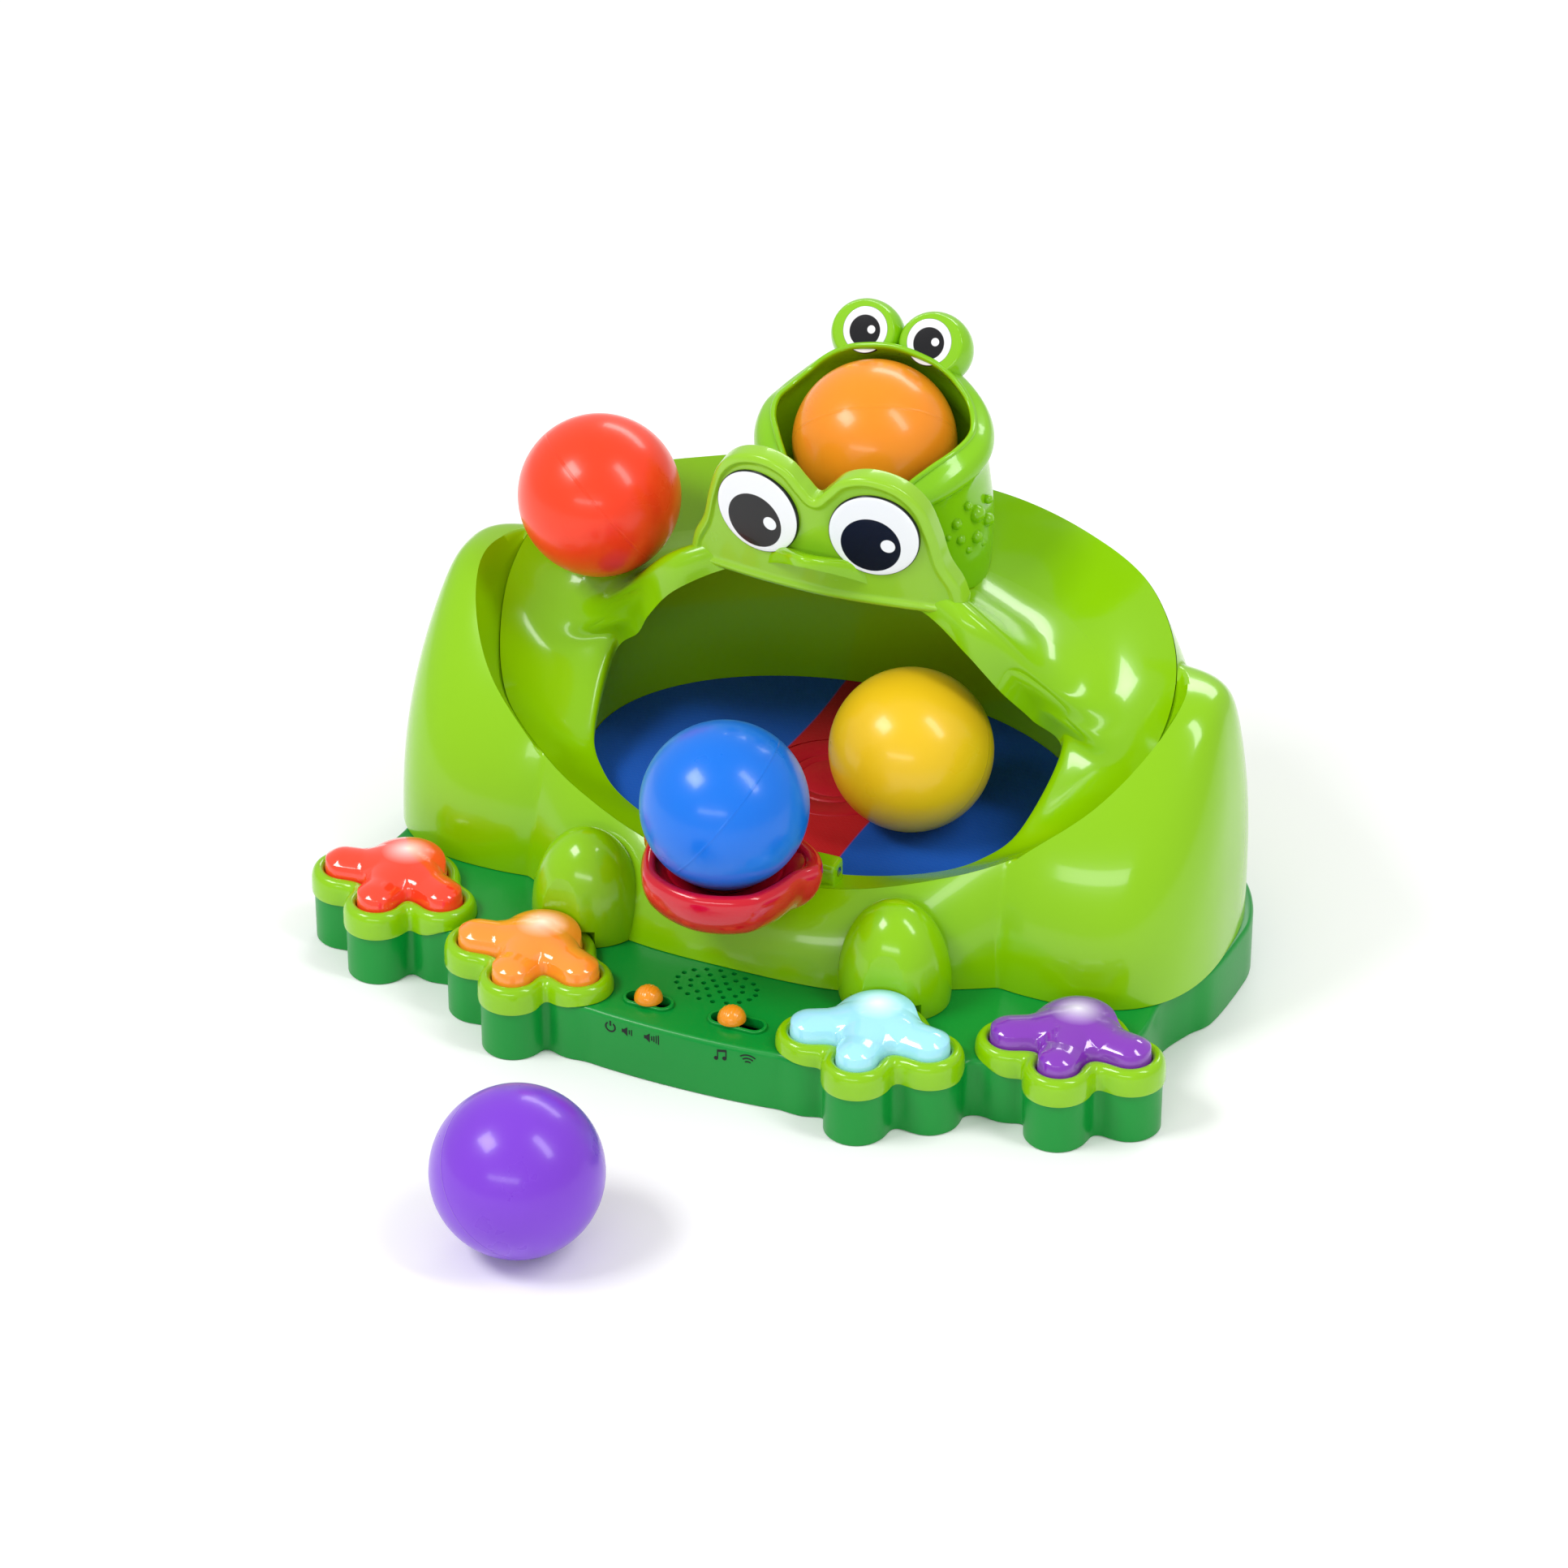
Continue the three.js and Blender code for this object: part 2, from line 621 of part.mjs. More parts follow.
// The tongue is a dish for one ball. Its outline's points are across and back from the middle of
// the dish, as shares of the tongue's half width.
const tongueHalf = 35;
const tongueForward = 21;
const tongueUnderRise = 3.2;
const tongueFloorRise = 12.4;
const tongueRimRise = 22.2;
const dishRadius = 52;
const tongueShares = [
  [0, -0.886], [0.331, -0.82], [0.603, -0.669], [0.731, -0.474], [0.814, -0.266], [0.886, 0],
  [0.991, 0.211], [0.84, 0.486], [0.414, 0.717], [0, 0.686],
];
const tongueLevelShares = [[0.1, 0], [0.9, 0], [1, 0.3], [1, 0.86], [0.97, 1], [0.92, 0.98]];
const dishShares = [0.8, 0.55, 0.3, 0.08];
const neckHalf = 17;
const neckThick = 3.4;
const springHalf = 5;
const springRadius = 2.6;
const springWire = 0.4;
const springTurns = 4;
const turnSteps = 7;
const wireSides = 5;
const springEndShare = 0.1;
const tongueY = frontOfCrest.y - tongueForward;
const tongueUnder = frontLip.z + tongueUnderRise;
const tongueFloor = frontLip.z + tongueFloorRise;
const tongueRimZ = frontLip.z + tongueRimRise;
const tongueLine = closedLine(tongueShares.map(([x, y]) => new THREE.Vector3(x, y, 0)));
const dishHeight = (reach) => tongueFloor + dishRadius - Math.sqrt(dishRadius ** 2 - reach ** 2);
function tongueRing(share, heightOf) {
  return sampled(tongueLine, roundSides).map((p) => {
    const spot = p.clone().multiplyScalar(share * tongueHalf);
    const height = heightOf(Math.hypot(spot.x, spot.y));
    return new THREE.Vector3(spot.x, spot.y + tongueY, height);
  });
}
function buildTongue() {
  const rise = tongueRimZ - tongueUnder;
  const sides = tongueLevelShares.map(([share, up]) => tongueRing(share, () => tongueUnder + up * rise));
  const floor = dishShares.map((share) => tongueRing(share, (reach) => Math.min(dishHeight(reach), tongueRimZ)));
  const neckFront = tongueY + overrun;
  const neckZ = pinZ + barrelRadius - neckThick / 2;
  const neck = box([2 * neckHalf, pinY - neckFront, neckThick], [0, (pinY + neckFront) / 2, neckZ]);
  const barrel = rodX(barrelRadius, -barrelHalf, barrelHalf, pinY, pinZ, midSides);
  const cavity = box([2 * springHalf, 2 * lugDepth, 2 * lugHeight], [0, pinY, pinZ]);
  const hub = neck.add(barrel).subtract(cavity);
  return skin([...sides, ...floor], false).add(hub).subtract(tonguePin(runningPlay));
}
class Helix extends THREE.Curve {
  getPoint(share) {
    const turn = turnOf(share, 1) * springTurns;
    const x = lerp(-springHalf, springHalf, springEndShare + (1 - 2 * springEndShare) * share);
    const y = pinY + springRadius * Math.cos(turn);
    return new THREE.Vector3(x, y, pinZ + springRadius * Math.sin(turn));
  }
}
function buildTongueSpring() {
  const points = [];
  for (let i = 0; i < wireSides; i++) {
    const turn = turnOf(i, wireSides);
    points.push(new THREE.Vector2(springWire * Math.cos(turn), springWire * Math.sin(turn)));
  }
  const options = { steps: turnSteps * springTurns, extrudePath: new Helix(), bevelEnabled: false };
  return solid(new THREE.ExtrudeGeometry(new THREE.Shape(points), options));
}

// Paws: an outline of three toes round a palm. The paws share the front's width, so their sizes
// are shares of the half width, and each row of toes is across and back as shares of the palm.
const palmShare = 0.0945;
const toeShare = 0.484;
const toeSpotShares = [[1.471, -0.271], [0.097, -1.303], [-1.316, -0.658]];
const innerPawShares = [0.402, -0.742];
const outerPawShares = [0.81, -0.551];
const palmRadius = palmShare * halfWidth;
const toeRadius = toeShare * palmRadius;
const pawBlend = 5;
const bezelGrow = 5;
const bezelEdge = 1.5;
const bezelRise = 7;
const buttonPlay = 0.4;
const flangeGrow = 0.8;
const flangeThick = 2.7;
const buttonFillet = 0.6;
const palmRise = 7;
const toeRise = 5.4;
const domeBlend = 3;
const hubShare = 0.05;
const domeShares = [0.88, 0.62, 0.32, 0.06];
const deckThick = 2.5;
const deckUnder = baseHeight - deckThick;
const bezelTop = baseHeight + bezelRise;
const toeSpots = toeSpotShares.map(([x, y]) => new THREE.Vector2(x * palmRadius, y * palmRadius));
// How far a toe reaches along a ray from the palm's middle: its round end, or its straight side
function toeReach(toe, turn, grow) {
  const length = toe.length();
  const radius = toeRadius + grow;
  const off = Math.abs(Math.atan2(Math.sin(turn - toe.angle()), Math.cos(turn - toe.angle())));
  if (off > Math.PI / 2) return 0;
  if (Math.tan(off) > radius / length) return radius / Math.sin(off);
  return length * Math.cos(off) + Math.sqrt(radius ** 2 - (length * Math.sin(off)) ** 2);
}
function pawOutline(grow) {
  const points = [];
  for (let i = 0; i < pawSides; i++) {
    const turn = turnOf(i, pawSides);
    const reaches = toeSpots.map((toe) => toeReach(toe, turn, grow));
    const reach = reaches.reduce((most, one) => smoothMax(most, one, pawBlend), palmRadius + grow);
    points.push(new THREE.Vector2(reach * Math.cos(turn), reach * Math.sin(turn)));
  }
  return points;
}
// Each level of a paw's skin has its growth, its share of the outline and a height, which may
// depend on the place.
function pawSkin(paw, levels) {
  const rings = levels.map(([grow, share, height]) =>
    pawOutline(grow).map((p) => {
      const spot = p.clone().multiplyScalar(share);
      const z = typeof height === "number" ? height : height(spot);
      return new THREE.Vector3(paw.x + paw.side * spot.x, paw.y + spot.y, z);
    }),
  );
  return skin(rings, false);
}
function pawPrism(paw, grow, from, to) {
  return pawSkin(paw, [[grow, hubShare, from], [grow, 1, from], [grow, 1, to], [grow, hubShare, to]]);
}
function pawAt(name, side, [x, y]) {
  return { name, side, x: side * x * halfWidth, y: y * halfDepth };
}
const paws = [
  pawAt("left_outer", -1, outerPawShares),
  pawAt("left_inner", -1, innerPawShares),
  pawAt("right_inner", 1, innerPawShares),
  pawAt("right_outer", 1, outerPawShares),
];
function pawBezel(paw, cutter) {
  const shoulder = bezelTop - bezelEdge;
  const inner = bezelGrow - bezelEdge;
  const outside = [[bezelGrow, hubShare, footHeight], [bezelGrow, 1, footHeight], [bezelGrow, 1, shoulder]];
  const plate = pawSkin(paw, [...outside, [inner, 1, bezelTop], [inner, hubShare, bezelTop]]);
  return cutAll(plate, [pawPrism(paw, buttonPlay, 0, crestHeight), cutter]);
}
// The button's top: domes over the toes and the palm, blended into one another
function lensHeight(spot) {
  const dome = (rise, radius, middle) => {
    const off = spot.distanceTo(middle) / radius;
    return rise * Math.sqrt(Math.max(1 - off * off, 0));
  };
  const palm = dome(palmRise, palmRadius, new THREE.Vector2());
  return bezelTop + toeSpots.reduce((most, toe) => smoothMax(most, dome(toeRise, toeRadius, toe), domeBlend), palm);
}
function pawButton(paw) {
  const foot = deckUnder - gap - flangeThick;
  const flangeTop = deckUnder - gap;
  const flange = [[flangeGrow, hubShare, foot], [flangeGrow, 1, foot], [flangeGrow, 1, flangeTop]];
  const sides = [[0, 1, flangeTop], [0, 1, bezelTop], [-buttonFillet, 1, bezelTop + buttonFillet]];
  return pawSkin(paw, [...flange, ...sides, ...domeShares.map((share) => [0, share, lensHeight])]);
}

// Base: a low tub upside down, whose front follows the paws. The outline's points are shares of
// half width and half depth, down the right half from the middle of the front to the back.
const baseShares = [
  [0, -0.926], [0.122, -0.922], [0.244, -0.906], [0.378, -0.859], [0.518, -0.789], [0.659, -0.703],
  [0.793, -0.625], [0.902, -0.531], [0.93, -0.391], [0.925, -0.234], [0.957, -0.109], [0.988, -0.031],
  [1, 0.156], [0.994, 0.281], [0.945, 0.43], [0.854, 0.5625], [0.732, 0.695], [0.561, 0.828],
  [0.366, 0.922], [0.183, 0.973], [0, 0.988],
];
const baseWall = 2.5;
const coverThick = 2;
const basePawGrow = 5.3;
const outlineSamples = 56;
const baseLine = closedLine(baseShares.map(([x, y]) => bodySpot([x, y, 0])));
const baseOutline = sampled(baseLine, outlineSamples).map((p) => new THREE.Vector2(p.x, p.y));
function drawnIn(points, inset) {
  return points.map((point, i) => {
    const before = points.at(i - 1);
    const after = points[(i + 1) % points.length];
    const along = after.clone().sub(before).normalize();
    return new THREE.Vector2(point.x - along.y * inset, point.y + along.x * inset);
  });
}
function baseBlock(inset, from, to) {
  const block = prism(drawnIn(baseOutline, inset), from, to);
  return paws.reduce((made, paw) => made.add(pawPrism(paw, basePawGrow - inset, from, to)), block);
}

const screwShares = [[-0.823, -0.156], [0.823, -0.156], [-0.61, 0.625], [0.61, 0.625]];
const screwSpots = screwShares.map(([x, y]) => [x * halfWidth, y * halfDepth]);
const screwShank = 1.4;
const screwHead = 3.2;
const screwHeadThick = 1.2;
const screwLength = 12;
const screwPost = 4;
const grilleShare = -0.664;
const grilleHalfX = 17;
const grilleHalfY = 11;
const grilleHole = 1.1;
const grilleRings = [[1, 0], [6, 0.34], [12, 0.68]];
const switchShare = -0.8125;
const slotWidth = 6.6;
const slotRim = 1.2;
const rimRise = 1.2;
const knobRadius = 5.25;
const stemRadius = 2.8;
const slideThick = 2;
const slideHalfX = 6;
const slideHalfY = 3.4;
const volumeX = -18.5;
const volumeSlot = 19.6;
const modeX = 16.5;
const modeSlot = 22.6;
const modeRest = 2.2;
const switches = [
  { name: "volume_knob", x: volumeX, knob: volumeX, slot: volumeSlot },
  { name: "mode_knob", x: modeX, knob: modeX - modeRest, slot: modeSlot },
];
const grilleY = grilleShare * halfDepth;
const switchY = switchShare * halfDepth;
function stadium(length, width, from, to, x) {
  const half = (length - width) / 2;
  const bar = box([2 * half, width, to - from], [x, switchY, (from + to) / 2]);
  const ends = [-1, 1].map((side) => post(width / 2, from, to, x + side * half, switchY, smallSides));
  return bar.add(ends[0]).add(ends[1]);
}
function grilleHoles() {
  const holes = [];
  for (const [count, share] of grilleRings) {
    for (let i = 0; i < count; i++) {
      const x = share * grilleHalfX * Math.cos(turnOf(i, count));
      const y = grilleY + share * grilleHalfY * Math.sin(turnOf(i, count));
      holes.push(post(grilleHole, deckUnder - overrun, baseHeight + overrun, x, y, holeSides));
    }
  }
  return holes;
}
function buildBase() {
  let base = baseBlock(0, 0, baseHeight).subtract(baseBlock(baseWall, -overrun, deckUnder));
  for (const [x, y] of screwSpots) {
    base = base.add(post(screwPost, coverThick + gap, baseHeight - deckThick / 2, x, y, smallSides));
    base = base.subtract(post(screwShank + gap, 0, screwLength + coverThick, x, y, smallSides));
  }
  for (const { x, slot } of switches) {
    const rimWidth = slotWidth + 2 * slotRim;
    base = base.add(stadium(slot, rimWidth, baseHeight - deckThick / 2, baseHeight + rimRise, x));
    base = base.subtract(stadium(slot - 2 * slotRim, slotWidth, 0, baseHeight + overrun, x));
  }
  for (const paw of paws) {
    base = base.subtract(pawPrism(paw, flangeGrow + gap, 0, deckUnder));
    base = base.subtract(pawPrism(paw, buttonPlay, 0, crestHeight));
  }
  return cutAll(base, grilleHoles());
}
function switchKnob({ knob }) {
  const bottom = baseHeight + rimRise + gap;
  const slideTop = deckUnder - gap;
  const dome = egg([knobRadius, knobRadius, knobRadius], [knob, switchY, bottom], smallSides, smallSides);
  const below = box([halfSpace, halfSpace, halfSpace], [knob, switchY, bottom - halfSpace / 2]);
  const stem = post(stemRadius, slideTop - slideThick / 2, bottom + slideThick / 2, knob, switchY, smallSides);
  const slide = box([2 * slideHalfX, 2 * slideHalfY, slideThick], [knob, switchY, slideTop - slideThick / 2]);
  return dome.subtract(below).add(stem).add(slide);
}

// Bottom cover with the battery bay; its cells lie side by side along X.
const cellRadius = 7.25;
const cellLength = 50.5;
const cellCount = 3;
const cellPitch = 15;
const nubShare = 0.35;
const nubLength = 1.5;
const bayShare = 0.6;
const bayWall = 1.6;
const bayHalfX = 30;
const bayTop = 18;
const doorHalfX = 28;
const doorScrewInset = 3;
const doorReach = 9;
const doorScrewLength = 7;
const standoffShares = [[-0.549, -0.469], [-0.244, -0.469], [0.244, -0.469], [0.549, -0.469]];
const standoffRadius = 3;
const boardUnder = 8;
const boardThick = 1.6;
const contactThick = 0.5;
const bayY = bayShare * halfDepth;
const bayHalfY = cellPitch + cellRadius + gap;
const doorScrewY = bayY + bayHalfY + bayWall + doorScrewInset;
const cellZ = coverThick + gap + cellRadius;
function doorPlate(grow, from, to) {
  const back = doorScrewY + doorReach / 2 + grow;
  const front = bayY - bayHalfY - grow;
  return box([2 * (doorHalfX + grow), back - front, to - from], [0, (back + front) / 2, (from + to) / 2]);
}
function screwHoles(x, y) {
  const shank = post(screwShank + gap, -overrun, overrun, x, y, smallSides);
  return shank.add(post(screwHead + gap, -overrun, screwHeadThick + gap, x, y, smallSides));
}
function buildCover() {
  let cover = baseBlock(baseWall + gap, 0, coverThick);
  cover = cover.subtract(doorPlate(gap, -coverThick, 2 * coverThick));
  const bayZ = (bayTop + coverThick) / 2;
  const outside = box([2 * (bayHalfX + bayWall), 2 * (bayHalfY + bayWall), bayTop - coverThick], [0, bayY, bayZ]);
  const inside = box([2 * bayHalfX, 2 * bayHalfY, 2 * bayTop], [0, bayY, bayZ]);
  const sill = box([2 * bayHalfX, bayWall, coverThick], [0, bayY + bayHalfY + bayWall / 2, coverThick / 2]);
  const opening = doorPlate(gap, 0, coverThick).subtract(sill);
  cover = cover.add(outside.subtract(inside).subtract(opening));
  cover = cover.add(post(screwPost, coverThick + gap, doorScrewLength + coverThick + gap, 0, doorScrewY, midSides));
  const bore = post(screwShank + gap, coverThick, doorScrewLength + 2 * overrun, 0, doorScrewY, smallSides);
  cover = cutAll(cover, [bore, ...screwSpots.map(([x, y]) => screwHoles(x, y))]);
  for (const [x, y] of standoffShares) {
    const [spotX, spotY] = [x * halfWidth, y * halfDepth];
    cover = cover.add(post(standoffRadius, coverThick / 2, boardUnder - gap, spotX, spotY, smallSides));
  }
  return cover;
}
function buildDoor() {
  return doorPlate(0, 0, coverThick).subtract(screwHoles(0, doorScrewY));
}
function screw(length, x, y) {
  const head = post(screwHead, gap, screwHeadThick, x, y, smallSides);
  return head.add(post(screwShank, gap, length, x, y, smallSides));
}
function cell(index) {
  const y = bayY + (index - (cellCount - 1) / 2) * cellPitch;
  const half = cellLength / 2;
  const nub = rodX(cellRadius * nubShare, -half, half, y, cellZ, smallSides);
  return rodX(cellRadius, nubLength - half, half - nubLength, y, cellZ, midSides).add(nub);
}
function buildContact(side) {
  const x = side * (cellLength / 2 + gap + contactThick / 2);
  return box([contactThick, 2 * (bayHalfY - gap), cellRadius], [x, bayY, cellZ]);
}

// Below the deck: the board on its standoffs, a lamp under each paw, and the speaker
const boardFrontShare = -0.675;
const boardBackShare = -0.39;
const boardWidthShare = 0.841;
const lampBack = 12;
const lampRadius = 2.5;
const lampRise = 5;
const contactBlock = 5;
const speakerRadius = 13;
const speakerNeck = 7;
const speakerFoot = 11;
const coneThick = 2;
const boardTop = boardUnder + boardThick;
function buildBoard() {
  const [front, back] = [boardFrontShare * halfDepth, boardBackShare * halfDepth];
  const size = [2 * boardWidthShare * halfWidth, back - front, boardThick];
  let board = box(size, [0, (back + front) / 2, boardUnder + boardThick / 2]);
  for (const paw of paws) {
    const spot = [paw.x - (paw.side * palmRadius) / 2, paw.y + palmRadius / 2, boardTop + contactBlock / 2];
    board = board.add(box([contactBlock, contactBlock, contactBlock], spot));
  }
  return board;
}
function buildLamp(paw) {
  return post(lampRadius, boardTop + gap, boardTop + gap + lampRise, paw.x, paw.y + lampBack, smallSides);
}
function buildSpeaker() {
  const top = deckUnder - gap;
  const dome = top - 2 * coneThick;
  const outside = [[0, speakerFoot], [speakerNeck, speakerFoot], [speakerNeck, speakerFoot + coneThick]];
  const lip = [[speakerRadius, top - coneThick], [speakerRadius, top], [speakerRadius - coneThick, top]];
  const profile = [...outside, ...lip, [speakerNeck / 2, dome], [0, dome]];
  const cone = new THREE.LatheGeometry(profile.map(([r, z]) => new THREE.Vector2(r, z)), roundSides);
  return solid(cone.rotateX(Math.PI / 2)).translate([0, grilleY + coneThick, 0]);
}

// The popper: a geared motor swings an arm that lifts the pad in the middle of the cloth, whose
// stem runs in a frame that stands on the deck and carries the ring round the pad.
const padStem = 4;
const stemFootRise = 5.7;
const frameHalfX = 7;
const frameHalfY = 22;
const framePost = 4;
const framePlate = 2;
const bridgeThick = 7;
const pivotX = -45;
const pivotRise = 4;
const pivotRadius = 1.8;
const armHub = 3.5;
const armHalf = 3.5;
const armThick = 3;
const armTipX = 4;
const gearboxHalfX = 15;
const gearboxDepth = 24;
const gearboxDrop = 5;
const motorRadius = 9.5;
const motorLength = 19;
const popperFloor = footHeight + gap;
const stemFoot = popperFloor + stemFootRise;
const pivotZ = popperFloor + pivotRise;
const frameTop = clothTop - padThick - gap;
function buildPad() {
  const disc = post(padRadius, clothTop - padThick, clothTop, 0, clothY, roundSides);
  return disc.add(post(padStem, stemFoot, clothTop - padThick / 2, 0, clothY, midSides));
}
function buildKickerFrame() {
  const plate = box([2 * frameHalfX, 2 * frameHalfY, framePlate], [0, clothY, popperFloor + framePlate / 2]);
  const bridgeSize = [2 * frameHalfX, 2 * frameHalfY, bridgeThick];
  let frame = plate.add(box(bridgeSize, [0, clothY, frameTop - bridgeThick / 2]));
  for (const side of [-1, 1]) {
    const y = clothY + side * (frameHalfY - framePost / 2);
    const size = [2 * frameHalfX, framePost, frameTop - popperFloor];
    frame = frame.add(box(size, [0, y, (frameTop + popperFloor) / 2]));
  }
  const from = frameTop - bridgeThick - overrun;
  return frame.subtract(post(padStem + runningPlay, from, frameTop + overrun, 0, clothY, midSides));
}
function buildArm() {
  const hub = rodY(armHub, clothY - armHalf, clothY + armHalf, pivotX, pivotZ, midSides);
  const length = armTipX - pivotX;
  const z = stemFoot - gap - armThick / 2;
  const lever = box([length, 2 * armHalf, armThick], [pivotX + length / 2, clothY, z]);
  return hub.add(lever).subtract(rodY(pivotRadius + runningPlay, 0, halfDepth, pivotX, pivotZ, smallSides));
}
function buildGearbox() {
  const front = clothY + armHalf + gap;
  const top = clothTop - gearboxDrop;
  const size = [2 * gearboxHalfX, gearboxDepth, top - popperFloor];
  const shell = box(size, [pivotX, front + gearboxDepth / 2, (top + popperFloor) / 2]);
  return shell.add(rodY(pivotRadius, clothY - armHalf - gap, front + overrun, pivotX, pivotZ, smallSides));
}
function buildMotor() {
  const from = pivotX + gearboxHalfX + gap;
  const y = clothY + armHalf + gap + gearboxDepth - motorRadius;
  return rodX(motorRadius, from, from + motorLength, y, popperFloor + gap + motorRadius, roundSides);
}

// Balls: one lies on the run, one is in the small frog's mouth, one on the tongue, one on the
// cloth and one on the ground. Each stands a small gap clear of what is below it.
const redSpotShares = [-0.595, 0.234];
const orangeSpotShares = [0, 0.631, 0.521];
const yellowSpotShares = [0.385, -0.241];
const purpleSpotShares = [-0.081, -1.753];
const ballAcross = 18;
const ballDown = 10;
function ball(x, y, z) {
  return egg([ballRadius, ballRadius, ballRadius], [x, y, z], ballAcross, ballDown);
}
// The run's flat facets can stand a little above its true surface.
const facetRise = 0.6;
function heightOnRun(x, y) {
  const reach = ballRadius + gap + facetRise;
  let height = 0;
  for (const p of runSamples) {
    const off = Math.hypot(p.x - x, p.y - y);
    if (off < reach) height = Math.max(height, p.z + Math.sqrt(reach ** 2 - off ** 2));
  }
  return height;
}

const belowRun = runBand(overrun, gap, (point) => point.setZ(0));
const bodyCut = bodyShell(gap, wall + gap);
const frontCut = bodyFilled(gap);
add("base_housing", buildBase(), gloss(darkGreen));
add("bottom_cover", buildCover(), matte(darkGreen));
add("battery_door", buildDoor(), matte(darkGreen));
add("battery_door_screw", screw(doorScrewLength, 0, doorScrewY), metal());
for (let i = 0; i < cellCount; i++) {
  add(`battery_${i + 1}`, cell(i), gloss(greyPlastic));
}
add("battery_contact_left", buildContact(-1), metal());
add("battery_contact_right", buildContact(1), metal());
screwSpots.forEach(([x, y], i) => add(`housing_screw_${i + 1}`, screw(screwLength, x, y), metal()));
add("outer_body", buildBody(), gloss(lime));
add("ball_run", buildRun(), gloss(lime));
add("mouth_wall", buildMouthWall(), gloss(lime));
add("cloth_hoop", buildHoop(), matte(greyPlastic));
add("cloth_floor", buildCloth(), matte(clothBlue));
add("pad_ring", buildPadRing(), matte(tongueRed));
add("small_frog_head", buildHood([belowRun, bodyCut]), gloss(deepLime));
add("small_eye_left", smallEye(-1), gloss(white));
add("small_eye_right", smallEye(1), gloss(white));
add("eye_panel", buildPanel(belowRun), gloss(paleLime));
add("big_eye_left", bigEye(-1, belowRun), gloss(white));
add("big_eye_right", bigEye(1, belowRun), gloss(white));
for (const paw of paws) {
  add(`paw_bezel_${paw.name}`, pawBezel(paw, frontCut), gloss(lime));
  add(`paw_button_${paw.name}`, pawButton(paw), gloss(lensColours[paw.name]));
  add(`lamp_${paw.name}`, buildLamp(paw), gloss(white));
}
for (const one of switches) {
  add(one.name, switchKnob(one), gloss(orange));
}
add("speaker", buildSpeaker(), matte(greyPlastic));
add("circuit_board", buildBoard(), matte(boardGreen));
add("tongue", buildTongue(), gloss(tongueRed));
add("tongue_pin", tonguePin(0), metal());
add("tongue_spring", buildTongueSpring(), metal());
add("pop_pad", buildPad(), matte(tongueRed));
add("kicker_frame", buildKickerFrame(), matte(greyPlastic));
add("kicker_arm", buildArm(), matte(white));
add("kicker_gearbox", buildGearbox(), matte(greyPlastic));
add("kicker_motor", buildMotor(), metal());
const [redX, redY] = [redSpotShares[0] * halfWidth, redSpotShares[1] * halfDepth];
const yellowX = yellowSpotShares[0] * clothHalfWidth;
const yellowY = clothY + yellowSpotShares[1] * clothHalfDepth;
const [purpleX, purpleY] = [purpleSpotShares[0] * halfWidth, purpleSpotShares[1] * halfDepth];
const balls = {
  red: ball(redX, redY, heightOnRun(redX, redY)),
  orange: ball(...hoodSpot(orangeSpotShares).toArray()),
  blue: ball(0, tongueY, tongueFloor + gap + ballRadius),
  yellow: ball(yellowX, yellowY, clothTop + gap + ballRadius),
  purple: ball(purpleX, purpleY, ballRadius),
};
for (const [colour, shape] of Object.entries(balls)) {
  add(`ball_${colour}`, shape, gloss(ballColours[colour]));
}

export default toy;
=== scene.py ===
"""A frog-shaped ball popper toy: the looks of its plastic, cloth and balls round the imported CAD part.

Lengths in the formulas are in millimetres, and each mesh is written in metres.
"""
import json
import math

import bmesh
import bpy
import numpy as np
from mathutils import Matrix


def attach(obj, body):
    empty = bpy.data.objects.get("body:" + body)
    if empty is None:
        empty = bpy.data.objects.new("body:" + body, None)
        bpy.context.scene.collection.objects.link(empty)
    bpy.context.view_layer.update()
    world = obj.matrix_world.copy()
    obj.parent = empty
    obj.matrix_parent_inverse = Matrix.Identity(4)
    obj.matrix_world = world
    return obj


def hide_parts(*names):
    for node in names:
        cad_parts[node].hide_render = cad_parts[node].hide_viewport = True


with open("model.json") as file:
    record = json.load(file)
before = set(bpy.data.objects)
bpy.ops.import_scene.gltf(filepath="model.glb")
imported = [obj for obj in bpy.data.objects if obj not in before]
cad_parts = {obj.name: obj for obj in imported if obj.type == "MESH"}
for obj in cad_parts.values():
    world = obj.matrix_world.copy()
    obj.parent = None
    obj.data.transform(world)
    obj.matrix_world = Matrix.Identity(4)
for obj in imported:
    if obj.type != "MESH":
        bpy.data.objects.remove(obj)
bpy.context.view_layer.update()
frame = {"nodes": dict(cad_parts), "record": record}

# Camera: at the photograph's angle, found by fitting the toy's mirrored left and right points.
# It looks down at 32.13 degrees from 23.25 degrees round to the right of the front.
AZIMUTH = math.radians(23.25)
ELEVATION = math.radians(32.13)
CAMERA_MM = (695.0, -1640.9, 1180.5)
camera_data = bpy.data.cameras.new("photo_camera")
camera_data.sensor_width = 36
camera_data.lens = 130.43
camera_data.clip_end = 20
camera = bpy.data.objects.new("photo_camera", camera_data)
camera.location = [c / 1000 for c in CAMERA_MM]
camera.rotation_euler = (math.pi / 2 - ELEVATION, 0, AZIMUTH)
bpy.context.collection.objects.link(camera)
bpy.context.scene.camera = camera
bpy.context.scene.view_settings.view_transform = "Standard"


# Floor and light: a plain pale floor, an even white surround, and four soft panels whose
# reflections make the long highlights on the glossy plastic.
def shader(name):
    mat = bpy.data.materials.new(name)
    mat.use_nodes = True
    return mat, mat.node_tree, mat.node_tree.nodes["Principled BSDF"]


def setting(node, values):
    """Plain values on a node's named sockets."""
    for key, value in values.items():
        node.inputs[key].default_value = value


